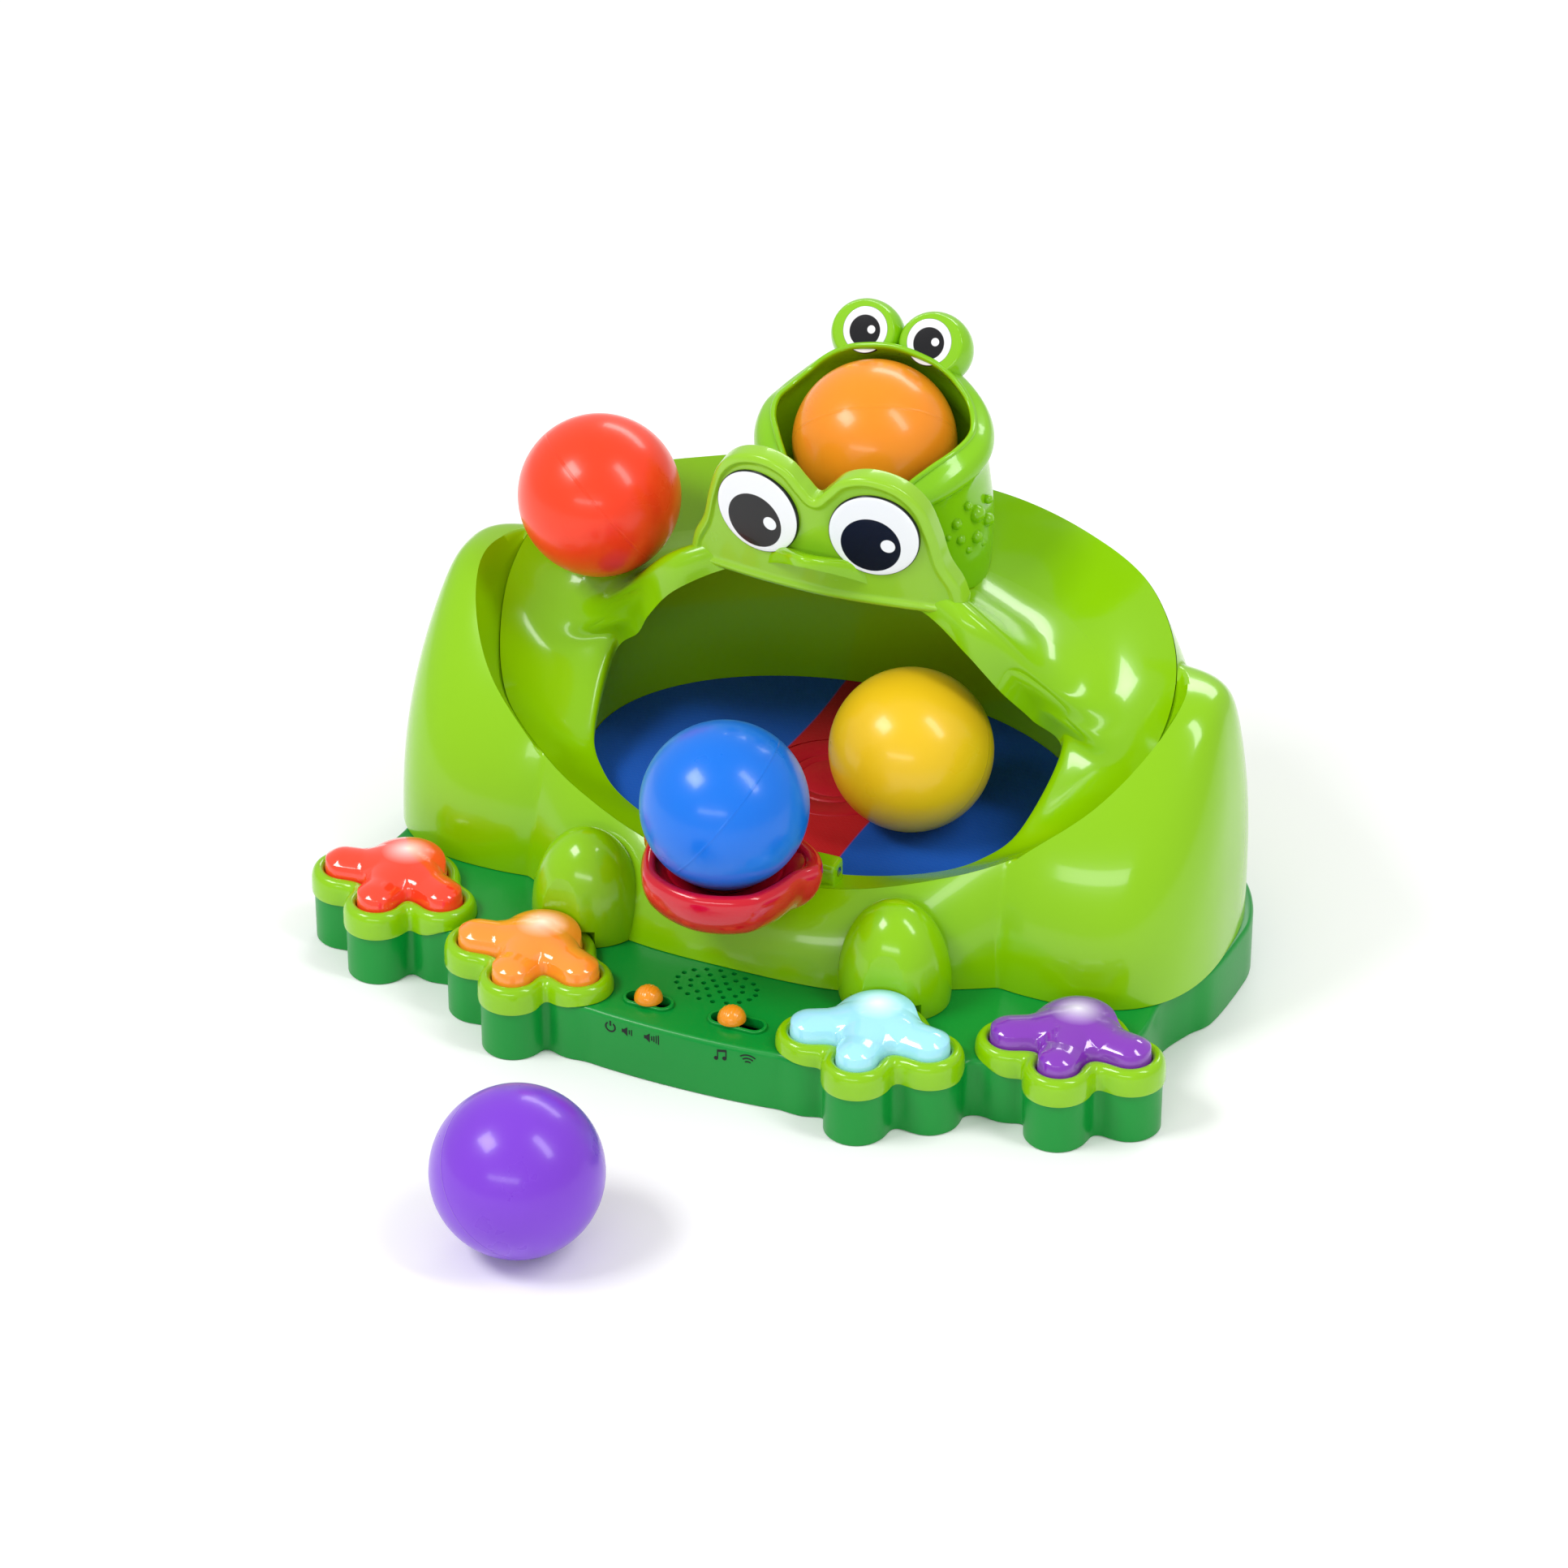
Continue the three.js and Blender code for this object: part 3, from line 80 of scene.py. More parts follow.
floor_data = bpy.data.meshes.new("floor")
floor_data.from_pydata([(-6, -6, 0), (6, -6, 0), (6, 6, 0), (-6, 6, 0)], [], [(0, 1, 2, 3)])
floor = bpy.data.objects.new("floor", floor_data)
bpy.context.collection.objects.link(floor)
floor_mat, _, floor_shader = shader("pale_floor")
setting(floor_shader, {"Base Color": (0.93, 0.93, 0.93, 1), "Roughness": 0.75})
floor_data.materials.append(floor_mat)
world = bpy.data.worlds.new("surround")
bpy.context.scene.world = world
world.use_nodes = True
setting(world.node_tree.nodes["Background"], {"Color": (1, 1, 1, 1), "Strength": 0.6})
PANELS = [
    ("top_left", (-0.9, -0.9, 1.6), (0.8, 0.55), 19, (0.05, 0.0, 0.1)),
    ("top_right", (1.1, -0.2, 1.5), (0.3, 1.0), 10, (0.05, 0.0, 0.1)),
    ("front_low", (0.2, -1.9, 0.8), (1.4, 0.2), 5.5, (0.0, 0.0, 0.08)),
    ("back", (0.0, 1.4, 1.1), (1.2, 0.3), 8, (0.0, 0.0, 0.12)),
]
for name, place_at, (width, height), watts, target in PANELS:
    light = bpy.data.lights.new(name, "AREA")
    light.shape = "RECTANGLE"
    light.size, light.size_y, light.energy = width, height, watts
    lamp = bpy.data.objects.new(name, light)
    lamp.location = place_at
    towards = np.array(target) - np.array(place_at)
    turn = math.atan2(towards[1], towards[0]) - math.pi / 2
    lamp.rotation_euler = (math.atan2(math.hypot(*towards[:2]), -towards[2]), 0, turn)
    bpy.context.collection.objects.link(lamp)


# Plastic: every plastic is one base colour varied a little by slow noise, with a fine
# orange-peel bump and a clear coat; the noise is in object coordinates, so it stays on the piece.
def feed(tree, entry, value):
    """A socket is linked to the entry, and a plain value is set on it."""
    if isinstance(value, bpy.types.NodeSocket):
        tree.links.new(value, entry)
    else:
        entry.default_value = value


def mixed(tree, first, second, factor, blend="MIX"):
    """A mix of two colours, each plain or a socket, by a factor."""
    mix = tree.nodes.new("ShaderNodeMix")
    mix.data_type, mix.blend_type = "RGBA", blend
    for key, value in ((0, factor), (6, first), (7, second)):
        feed(tree, mix.inputs[key], (*value, 1) if isinstance(value, tuple) else value)
    return mix.outputs[2]


def noise(tree, scale, detail=2.0):
    coords = tree.nodes.new("ShaderNodeTexCoord")
    made = tree.nodes.new("ShaderNodeTexNoise")
    setting(made, {"Scale": scale, "Detail": detail})
    tree.links.new(coords.outputs["Object"], made.inputs["Vector"])
    return made.outputs["Fac"]


def ranged(tree, value, low, high, start=0.0, end=1.0):
    made = tree.nodes.new("ShaderNodeMapRange")
    setting(made, {"From Min": start, "From Max": end, "To Min": low, "To Max": high})
    tree.links.new(value, made.inputs["Value"])
    return made.outputs["Result"]


def bumped(tree, shade, height, strength, distance=0.0002):
    bump = tree.nodes.new("ShaderNodeBump")
    setting(bump, {"Strength": strength, "Distance": distance})
    tree.links.new(height, bump.inputs["Height"])
    tree.links.new(bump.outputs["Normal"], shade.inputs["Normal"])


def mottled(tree, shade, color, dark, scale, detail=2.0):
    """A base colour that wanders down to a darker one by noise."""
    darker = tuple(c * dark for c in color)
    factor = noise(tree, scale, detail)
    tree.links.new(mixed(tree, darker, color, factor), shade.inputs["Base Color"])


def roughened(tree, shade, low, high, scale, detail=4):
    """A roughness that wanders between two values by noise."""
    tree.links.new(ranged(tree, noise(tree, scale, detail), low, high), shade.inputs["Roughness"])


def plastic(name, color, roughness=0.22, coat=0.4, peel=0.06):
    mat, tree, shade = shader(name)
    mottled(tree, shade, color, 0.93, 9)
    roughened(tree, shade, roughness * 0.85, roughness * 1.2, 60)
    setting(shade, {"Specular IOR Level": 0.3, "Coat Weight": coat, "Coat Roughness": 0.06})
    bumped(tree, shade, noise(tree, 900, 2), peel)
    return mat


# Outer body: the wall falls from a crest guide line to a foot guide line in a bowed curve, and
# the haunches swell out of it. Each guide line is a closed uniform Catmull-Rom curve,
# p(u) = 0.5(2b + (c-a)u + (2a-5b+4c-d)uu + (3b-3c+d-a)uuu), through mirrored stations.
HALF_WIDTH, HALF_DEPTH, CREST_HEIGHT = 164, 128, 143
BASE_HEIGHT, WALL, GAP, BALL = 24.0, 3.0, 0.3, 61.0
SCALE = np.array([HALF_WIDTH, HALF_DEPTH, CREST_HEIGHT])
CREST = [
    (0, 0.78, 1), (0.256, 0.765, 0.993), (0.47, 0.68, 0.972), (0.652, 0.516, 0.958),
    (0.768, 0.336, 0.888), (0.805, 0.188, 0.783), (0.78, 0.031, 0.664), (0.707, -0.125, 0.566),
    (0.579, -0.25, 0.503), (0.439, -0.336, 0.448), (0.232, -0.414, 0.395), (0, -0.4375, 0.378),
]
FOOT = [
    (0, 0.984, 0), (0.317, 0.941, 0), (0.585, 0.805, 0), (0.793, 0.6, 0),
    (0.915, 0.367, 0), (0.957, 0.125, 0), (0.902, -0.086, 0), (0.78, -0.234, 0),
    (0.634, -0.32, 0), (0.482, -0.422, 0), (0.268, -0.547, 0), (0, -0.57, 0),
]


def blended(a, b, c, d, u):
    """The uniform Catmull-Rom curve from b to c."""
    bend, twist = 2 * a - 5 * b + 4 * c - d, 3 * b - 3 * c + d - a
    return 0.5 * (2 * b + (c - a) * u + bend * u**2 + twist * u**3)


def closed_curve(right, t):
    """Points of the closed uniform Catmull-Rom curve through the right half and its mirror."""
    right = np.array(right, float)
    left = right[1:-1][::-1] * np.array([-1] + [1] * (right.shape[1] - 1))
    knots = np.vstack([right, left])
    n = len(knots)
    x = np.asarray(t) * n
    i = np.floor(x).astype(int)
    u = (x - i)[..., None]
    return blended(*(knots[(i + k) % n] for k in (-1, 0, 1, 2)), u)


def crest_at(t):
    return closed_curve(CREST, t) * SCALE


def in_haunch(p):
    """Inside the leaning egg of each haunch: |x|^2.6 + |y|^2.6 < 1 in a plan that shrinks with
    height as (1 - up^3.5)^(1/3.5), leans out by up^8 and back by up^2."""
    up = np.clip((p[..., 2] - 20) / (0.86 * CREST_HEIGHT - 20), 0, 1)
    scale = (1 - up**3.5) ** (1 / 3.5) + 1e-4
    x = np.abs(np.abs(p[..., 0]) / HALF_WIDTH - (0.683 + 0.085 * up**8)) / (0.311 * scale)
    y = np.abs(p[..., 1] / HALF_DEPTH - (0.078 + 0.14 * up**2)) / (0.453 * scale * (1 - 0.45 * up**2))
    return (x**2.6 + y**2.6 < 1) & (up < 1)


def haunch_reach(origin, way):
    """Distance along each ray to the last point inside the haunch, -3 where there is none."""
    steps = np.linspace(0.37 * HALF_WIDTH, -3, 90)
    best = np.full(origin.shape[:-1], -3.0)
    found = np.zeros(origin.shape[:-1], bool)
    for far, near in zip(steps[:-1], steps[1:]):
        hit = in_haunch(origin + way * near) & ~found
        if hit.any():
            lo, hi = np.full(hit.sum(), near), np.full(hit.sum(), far)
            for _ in range(12):
                mid = (lo + hi) / 2
                good = in_haunch(origin[hit] + way[hit] * mid[:, None])
                lo, hi = np.where(good, mid, lo), np.where(good, hi, mid)
            best[hit] = lo
            found |= hit
    return best


def smooth_max(a, b, k):
    return np.maximum(a, b) + np.maximum(k - np.abs(a - b), 0) ** 2 / (4 * k)


def wall_at(t, q):
    """The outer wall's point and its outward way at station t and share q of the fall."""
    t, q = np.broadcast_arrays(np.asarray(t, float), np.asarray(q, float))
    top = crest_at(t)
    bottom = closed_curve(FOOT, t) * SCALE
    bottom[..., 2] = BASE_HEIGHT + GAP
    bow = top + (bottom - top) * 0.78
    bow[..., 2] = top[..., 2] + (bottom[..., 2] - top[..., 2]) * 0.4
    qq = q[..., None]
    first = top + (bow - top) * qq
    point = first + (bow + (bottom - bow) * qq - first) * qq
    way = bottom - top
    way[..., 2] = 0
    way /= np.linalg.norm(way, axis=-1, keepdims=True)
    tilt = (1 - q) ** 2
    way = way * (1 - 0.7 * tilt)[..., None]
    way[..., 2] = tilt
    way /= np.linalg.norm(way, axis=-1, keepdims=True)
    swell = smooth_max(0, haunch_reach(point, way), 3) - 0.75
    ease = np.clip(q / 0.04, 0, 1)
    return point + way * (np.maximum(swell, 0) * ease)[..., None], way


def mesh_of(name, points, faces):
    """A closed mesh in metres from points in millimetres, its normals turned outward."""
    mesh = bpy.data.meshes.new(name)
    mesh.from_pydata((np.asarray(points) / 1000).tolist(), [], faces)
    bm = bmesh.new()
    bm.from_mesh(mesh)
    bmesh.ops.remove_doubles(bm, verts=bm.verts, dist=1e-7)
    bmesh.ops.recalc_face_normals(bm, faces=bm.faces)
    if bm.calc_volume(signed=True) < 0:
        bmesh.ops.reverse_faces(bm, faces=bm.faces)
    bm.to_mesh(mesh)
    bm.free()
    return mesh


def place(name, points, faces, material, node, slot, body="housing", sharp=40):
    """A piece that stands for a node, rides on its body and takes the material it is given. The slot is
    not used.
    """
    mesh = mesh_of(name, points, faces)
    mesh.shade_smooth()
    mesh.set_sharp_from_angle(angle=math.radians(sharp))
    mesh.materials.append(material)
    made = bpy.data.objects.new(name, mesh)
    bpy.context.collection.objects.link(made)
    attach(made, body)
    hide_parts(node)
    return made


def skin(rings, looped):
    """Faces between rings of equal count: all round, and from ring to ring. An unlooped skin is
    closed with one flat face at each end."""
    rings = np.asarray(rings, float)
    n, k = rings.shape[:2]
    i, j = np.arange(k), np.arange(n if looped else n - 1)
    here, nxt = (j * k)[:, None], (((j + 1) % n) * k)[:, None]
    quads = np.stack([here + i, here + (i + 1) % k, nxt + (i + 1) % k, nxt + i], -1)
    faces = quads.reshape(-1, 4).tolist()
    if not looped:
        faces += [list(range(k - 1, -1, -1)), list(range((n - 1) * k, n * k))]
    return rings.reshape(-1, 3), faces


def cut(piece, cutter, operation="DIFFERENCE", sharp=40):
    """A closed cutter is taken from the piece, or joined to it, and goes again."""
    mesh = mesh_of("cutter", *cutter)
    tool = bpy.data.objects.new("cutter", mesh)
    bpy.context.collection.objects.link(tool)
    change = piece.modifiers.new("cut", "BOOLEAN")
    change.operation, change.solver, change.object = operation, "MANIFOLD", tool
    evaluated = piece.evaluated_get(bpy.context.evaluated_depsgraph_get())
    made = bpy.data.meshes.new_from_object(evaluated)
    piece.modifiers.clear()
    if len(made.polygons) == 0:
        raise RuntimeError(f"{piece.name}: the cut left nothing")
    old = piece.data
    piece.data = made
    made.shade_smooth()
    made.set_sharp_from_angle(angle=math.radians(sharp))
    bpy.data.meshes.remove(old)
    bpy.data.objects.remove(tool)
    bpy.data.meshes.remove(mesh)


def ball_rings(radii, centre, around_count=64, up_count=32):
    """Rings of a sphere or egg from its lowest to its highest point."""
    v = np.linspace(-math.pi / 2 + 0.02, math.pi / 2 - 0.02, up_count)[:, None]
    a = (np.arange(around_count) * 2 * math.pi / around_count)[None]
    x = radii[0] * np.cos(v) * np.cos(a)
    y = radii[1] * np.cos(v) * np.sin(a)
    return np.stack([x, y, radii[2] * np.sin(v) + 0 * a], -1) + centre


# The wrist domes are cut along the paws' outline: three toes round a palm in polar form,
# r = smoothmax(palm, toe reaches), where a toe reaches its round end or its straight side.
PALM = 0.0945 * HALF_WIDTH
TOE = 0.484 * PALM
TOES = np.array([(1.471, -0.271), (0.097, -1.303), (-1.316, -0.658)]) * PALM
BEZEL_TOP = BASE_HEIGHT + 7
PAWS = {
    "left_outer": (-1, -0.81 * HALF_WIDTH, -0.551 * HALF_DEPTH),
    "left_inner": (-1, -0.402 * HALF_WIDTH, -0.742 * HALF_DEPTH),
    "right_inner": (1, 0.402 * HALF_WIDTH, -0.742 * HALF_DEPTH),
    "right_outer": (1, 0.81 * HALF_WIDTH, -0.551 * HALF_DEPTH),
}


def paw_outline(grow, sides=216):
    turn = np.arange(sides) * 2 * math.pi / sides
    reach = np.full(sides, PALM + grow)
    for toe in TOES:
        length, radius = np.hypot(*toe), TOE + grow
        off = np.abs((turn - math.atan2(toe[1], toe[0]) + math.pi) % (2 * math.pi) - math.pi)
        straight = radius / np.maximum(np.sin(off), 1e-6)
        tip = length * np.cos(off) + np.sqrt(np.maximum(radius**2 - (length * np.sin(off)) ** 2, 0))
        one = np.where(np.tan(off) > radius / length, straight, tip)
        reach = smooth_max(reach, np.where(off > math.pi / 2, 0, one), 5)
    return np.stack([reach * np.cos(turn), reach * np.sin(turn)], -1)


def paw_rings(paw, levels):
    """Rings of growth, share and height, where the height may be a function of the place."""
    side, x, y = PAWS[paw]
    rings = []
    for grow, share, height in levels:
        spot = paw_outline(grow) * share
        z = height(spot) if callable(height) else np.full(len(spot), float(height))
        rings.append(np.column_stack([x + side * spot[:, 0], y + spot[:, 1], z]))
    return rings


def paw_prism(paw, grow, low, high):
    return skin(paw_rings(paw, [(grow, 1, low), (grow, 1, high)]), False)


LIME = plastic("lime_gloss", (0.25, 0.55, 0.0), 0.2)
around = np.arange(640) / 640
outer, way = wall_at(around[:, None], np.linspace(0, 1, 76)[None])
inner, inner_way = wall_at(around[:, None], np.array([1, 0.66, 0.32, 0.04])[None])
inner = inner - inner_way * WALL
flange = crest_at(around)[:, None] - (0, 0, WALL + GAP)
shell = skin(np.concatenate([outer, inner, flange], 1), True)
place("body_shell", *shell, LIME, "outer_body", "lime_gloss", sharp=60)
WRIST, WRIST_RADII = (0.372 * HALF_WIDTH, -0.5 * HALF_DEPTH, 30), (21, 19, 0.231 * CREST_HEIGHT)
for side, paw in ((-1, "left_inner"), (1, "right_inner")):
    rings = ball_rings(WRIST_RADII, np.multiply(WRIST, (side, 1, 1)), 96, 60)
    rings[..., 2] = np.maximum(rings[..., 2], BASE_HEIGHT + GAP)
    dome = place(f"wrist_{paw}", *skin(rings, False), LIME, "outer_body", "lime_gloss", sharp=60)
    cut(dome, paw_prism(paw, 5.6, 0, BEZEL_TOP + GAP), sharp=60)
    cut(dome, paw_prism(paw, 0.7, 0, 90), sharp=60)

# Ball run: across each station the surface climbs from the mouth's edge over the brow, dips, and
# climbs to the crest, z = lerp + brow (h exp(1-h))^0.6 - dip sin(pi s), with h = s / 0.12.
MOUTH = [
    (0, -0.047, 1.119), (0.122, 0.0625, 1.049), (0.244, 0.1, 0.979), (0.354, 0.07, 0.902),
    (0.427, 0.1, 0.797), (0.482, 0.172, 0.692), (0.549, 0.195, 0.601), (0.524, -0.023, 0.462),
    (0.463, -0.133, 0.406), (0.366, -0.219, 0.38), (0.207, -0.3125, 0.376), (0, -0.352, 0.376),
]
DIP = [0.126, 0.14, 0.154, 0.14, 0.119, 0.084, 0.049, 0.021, 0.007, 0, 0, 0]
BROW = [0.028, 0.056, 0.091, 0.098, 0.084, 0.056, 0.028, 0.007, 0, 0, 0, 0]


def mouth_at(t):
    return closed_curve(MOUTH, t) * SCALE


def run_at(t, s):
    t, s = np.broadcast_arrays(np.asarray(t, float), np.asarray(s, float))
    trim = closed_curve([(0, d, b) for d, b in zip(DIP, BROW)], t) * CREST_HEIGHT
    point = mouth_at(t) + (crest_at(t) - mouth_at(t)) * s[..., None]
    rise = np.maximum(s / 0.12, 0)
    hump = (rise * np.exp(1 - rise)) ** 0.6
    point[..., 2] += trim[..., 2] * hump - trim[..., 1] * np.sin(math.pi * np.clip(s, 0, 1))
    return point


def run_band(shares_over, shares_under, lift, under_of, count=640):
    t = (np.arange(count) / count)[:, None]
    width = np.linalg.norm(mouth_at(t) - crest_at(t), axis=-1)
    edge = 1 - GAP / width
    over = run_at(t, np.asarray(shares_over)[None] * edge) + (0, 0, lift)
    under = under_of(run_at(t, np.asarray(shares_under)[None] * edge))
    return skin(np.concatenate([over, under], 1), True)


def round_rings(profile, x, y, sides):
    """Level circles about an upright line, one for each radius and height."""
    a = np.arange(sides) * 2 * math.pi / sides
    return [np.stack([x + r * np.cos(a), y + r * np.sin(a), 0 * a + z], -1) for r, z in profile]


def tube(radius, low, high, x, y, sides=96):
    """An upright cylinder."""
    return skin(round_rings([(radius, low), (radius, high)], x, y, sides), False)


across = np.linspace(0, 1, 64) ** 1.15
THROAT_RADIUS, THROAT_Y = 31.5, 0.78 * HALF_DEPTH - 0.62 * BALL
run_shell = run_band(across, [1, 0.78, 0.42, 0.12, 0.05, 0], 0, lambda p: p - (0, 0, WALL))
run_piece = place("run_shell", *run_shell, LIME, "ball_run", "lime_gloss", sharp=50)
cut(run_piece, tube(THROAT_RADIUS, 60, 300, 0, THROAT_Y), sharp=50)

# Mouth wall: an ellipse that rises from the base to the run's underside, with a ledge below the
# cloth.
CLOTH_X, CLOTH_Y = 0.5915 * HALF_WIDTH, 0.539 * HALF_DEPTH
CLOTH_MIDDLE = 0.195 * HALF_DEPTH
CLOTH_TOP = 0.376 * CREST_HEIGHT - 3.8
CLOTH_SIDES = 240
LEDGE_DROP, LEDGE_THICK, LEDGE_WIDTH = 6, 4, 5


def ellipse(grow, z):
    """The cloth's outline grown outward, at one height or at a height for each point."""
    a = np.arange(CLOTH_SIDES) * 2 * math.pi / CLOTH_SIDES
    x, y = (CLOTH_X + grow) * np.cos(a), CLOTH_MIDDLE + (CLOTH_Y + grow) * np.sin(a)
    return np.stack([x, y, np.broadcast_to(z, a.shape)], -1)


samples = run_at(np.arange(560)[:, None] / 560, np.linspace(0, 1, 100)[None]).reshape(-1, 3)


def under_run(spots, near=3.5):
    """The run's lowest height near each spot."""
    return np.array([samples[np.hypot(*(samples[:, :2] - s[:2]).T) < near][:, 2].min() for s in spots])


tops = np.minimum(under_run(ellipse(WALL, 0)), under_run(ellipse(0, 0))) - WALL - GAP
foot, ledge = BASE_HEIGHT + GAP, CLOTH_TOP - LEDGE_DROP
liner = [(WALL, foot), (WALL, tops), (0, tops), (0, ledge), (-LEDGE_WIDTH, ledge)]
liner += [(-LEDGE_WIDTH, ledge - LEDGE_THICK), (0, ledge - LEDGE_THICK), (0, foot)]
liner = [ellipse(grow, z) for grow, z in liner]
place("mouth_shell", *skin(np.stack(liner, 1), True), LIME, "mouth_wall", "lime_gloss")

# Cloth floor: a stretched blue sheet with a red band across it, a plain weave of two crossed
# ridges whose dips carry painted shade, and a red ring and pad in its middle. The band is |x - 3 sin(y /
# 30)| < 26.
RED_CLOTH, BLUE_CLOTH = (0.62, 0.002, 0.006), (0.0, 0.1, 0.55)
BAND_HALF, BAND_SWAY, THREADS = 26, 3, 7.5


def calc(tree, operation, *values):
    """The result of a sum or rule on sockets and plain numbers."""
    made = tree.nodes.new("ShaderNodeMath")
    made.operation = operation
    for value, entry in zip(values, made.inputs):
        feed(tree, entry, value)
    return made.outputs[0]


def along(tree, way, origin=(0, 0, 0)):
    """Millimetres along a way from an origin, in object coordinates."""
    coords = tree.nodes.new("ShaderNodeTexCoord")
    dot = tree.nodes.new("ShaderNodeVectorMath")
    dot.operation = "DOT_PRODUCT"
    dot.inputs[1].default_value = tuple(1000 * c for c in way)
    tree.links.new(coords.outputs["Object"], dot.inputs[0])
    return calc(tree, "SUBTRACT", dot.outputs["Value"], float(np.dot(way, origin)))


def woven(name, first, second):
    mat, tree, shade = shader(name)
    x, y = along(tree, (1, 0, 0)), along(tree, (0, 1, 0), (0, CLOTH_MIDDLE, 0))
    slow = ranged(tree, y, -2, 2, -60, 60)
    shifted = calc(tree, "MULTIPLY_ADD", calc(tree, "SINE", slow), -BAND_SWAY, x)
    band = ranged(tree, calc(tree, "ABSOLUTE", shifted), 0, 1, BAND_HALF + 0.4, BAND_HALF - 0.4)
    color = mixed(tree, first, second, band)
    waves = [calc(tree, "SINE", calc(tree, "MULTIPLY", way, THREADS)) for way in (x, y)]
    weave = calc(tree, "MULTIPLY", *waves)
    # Painted shade: the colour is multiplied down to 0.72 where the weave dips, so its hollows look
    # shaded.
    weave_shaded_color = mixed(tree, color, ranged(tree, weave, 0.72, 1.0, -1, 1), 1, "MULTIPLY")
    tree.links.new(weave_shaded_color, shade.inputs["Base Color"])
    roughened(tree, shade, 0.75, 0.9, 200, 2)
    setting(shade, {"Sheen Weight": 0.08, "Specular IOR Level": 0.15})
    bumped(tree, shade, weave, 0.4, 0.0003)
    return mat


PAD_RADIUS, RING_RADIUS, PAD_THICK = 17.0, 27.0, 1.6
CLOTH_THICK = 1
cloth_line = ellipse(-GAP, 0)[:, :2]
hole = round_rings([(RING_RADIUS + GAP, 0)], 0, CLOTH_MIDDLE, CLOTH_SIDES)[0][:, :2]
cloth_rings = []
shares = [0, *np.linspace(0.05, 0.95, 19), 1]
for share, z in [(0, -CLOTH_THICK), *[(share, 0) for share in shares], (1, -CLOTH_THICK)]:
    flat = hole + (cloth_line - hole) * share
    cloth_rings.append(np.column_stack([flat, np.full(CLOTH_SIDES, CLOTH_TOP + z)]))
knit = woven("knit_blue_red", BLUE_CLOTH, RED_CLOTH)
cloth = place("cloth_sheet", *skin(cloth_rings, True), knit, "cloth_floor", "cloth_blue")

PAD_RED = plastic("pad_soft_red", (0.55, 0.006, 0.02), 0.5, 0.05, 0.35)
low = CLOTH_TOP - PAD_THICK
ring_profile = [
    (PAD_RADIUS + GAP, low), (RING_RADIUS, low), (RING_RADIUS, CLOTH_TOP - 0.4),
    (RING_RADIUS - 0.4, CLOTH_TOP), (PAD_RADIUS + 0.9, CLOTH_TOP), (PAD_RADIUS + GAP, CLOTH_TOP - 0.5),
    (PAD_RADIUS + GAP, low + 0.2),
]
ring_rings = round_rings(ring_profile, 0, CLOTH_MIDDLE, CLOTH_SIDES)
place("pad_ring_disc", *skin(ring_rings, True), PAD_RED, "pad_ring", "pad_red")
pad_profile = [
    (1, 30.3), (3.4, 30.3), (4, 30.9), (4, low), (PAD_RADIUS, low), (PAD_RADIUS, CLOTH_TOP - 0.5),
    (PAD_RADIUS - 0.5, CLOTH_TOP), (PAD_RADIUS - 3.5, CLOTH_TOP), (PAD_RADIUS - 4, CLOTH_TOP - 0.35),
    (PAD_RADIUS - 4.6, CLOTH_TOP), (4, CLOTH_TOP - 0.1), (1, CLOTH_TOP - 0.1),
]
pad_rings = round_rings(pad_profile, 0, CLOTH_MIDDLE, CLOTH_SIDES)
place("pop_pad_disc", *skin(pad_rings, False), PAD_RED, "pop_pad", "pad_red", body="pad")

# Small frog's head: a neck's rings blend up into a bent mouth rim as lerp(neck, rim, w) plus
# 4.6 sin(pi w), with a spline through them. Two eye bumps stand on the rim, and round warts on
# both sides of the neck.
CREST_BACK = 0.78 * HALF_DEPTH
SWELL, LIP_THICK, LIP_ROUND = 4.6, 2.4, 1.4
NECK = [
    (1.178, -0.508, 0.03, -0.508, 0.705), (1.17, -0.197, 0.014, -0.033, 0.73),
    (1.178, 0.049, -0.003, 0.148, 0.73), (1.211, 0.23, -0.003, 0.377, 0.705),
    (1.26, 0.344, 0.014, 0.607, 0.689),
]
SHAFT = [
    (1.153, 0.23, 0.104, 0.41, 0.533), (1.137, 0.049, 0.104, 0.115, 0.516),
    (1.137, -0.508, 0.104, -0.508, 0.516),
]
RIM = [
    (0, 1.227, 0.41), (0.197, 1.178, 0.451), (0.361, 1.079, 0.525), (0.426, 1.014, 0.574),
    (0.492, 0.932, 0.623), (0.574, 0.801, 0.672), (0.607, 0.653, 0.705), (0.574, 0.522, 0.73),
    (0.508, 0.424, 0.787), (0.426, 0.391, 0.869), (0.328, 0.366, 0.934), (0.213, 0.366, 0.984),
    (0, 0.358, 1.016),
]
HOOD_SIDES = 216
hood_turn = np.arange(HOOD_SIDES) * 2 * math.pi / HOOD_SIDES


def hood_spot(p):
    p = np.asarray(p, float) * BALL
    return np.stack([p[..., 0], CREST_BACK - p[..., 1], CREST_HEIGHT + p[..., 2]], -1)


def neck_ring(row):
    share = (1 - np.cos(hood_turn)) / 2
    front, front_rise, back, back_rise, half = row
    y, z = front + (back - front) * share, front_rise + (back_rise - front_rise) * share
    return hood_spot(np.stack([half * np.sin(hood_turn), y, z], -1))


def away(middle, points):
    off = points - hood_spot(middle)
    return off / np.linalg.norm(off, axis=-1, keepdims=True)


def blend_ring(ring, grow, step):
    lip = closed_curve(hood_spot(RIM), np.arange(HOOD_SIDES) / HOOD_SIDES)
    lip = lip + away((0, 0.784, 0.705), lip) * grow
    point = ring + (lip - ring) * step
    return point + away((0, 0.653, 0.541), point) * SWELL * math.sin(math.pi * step)


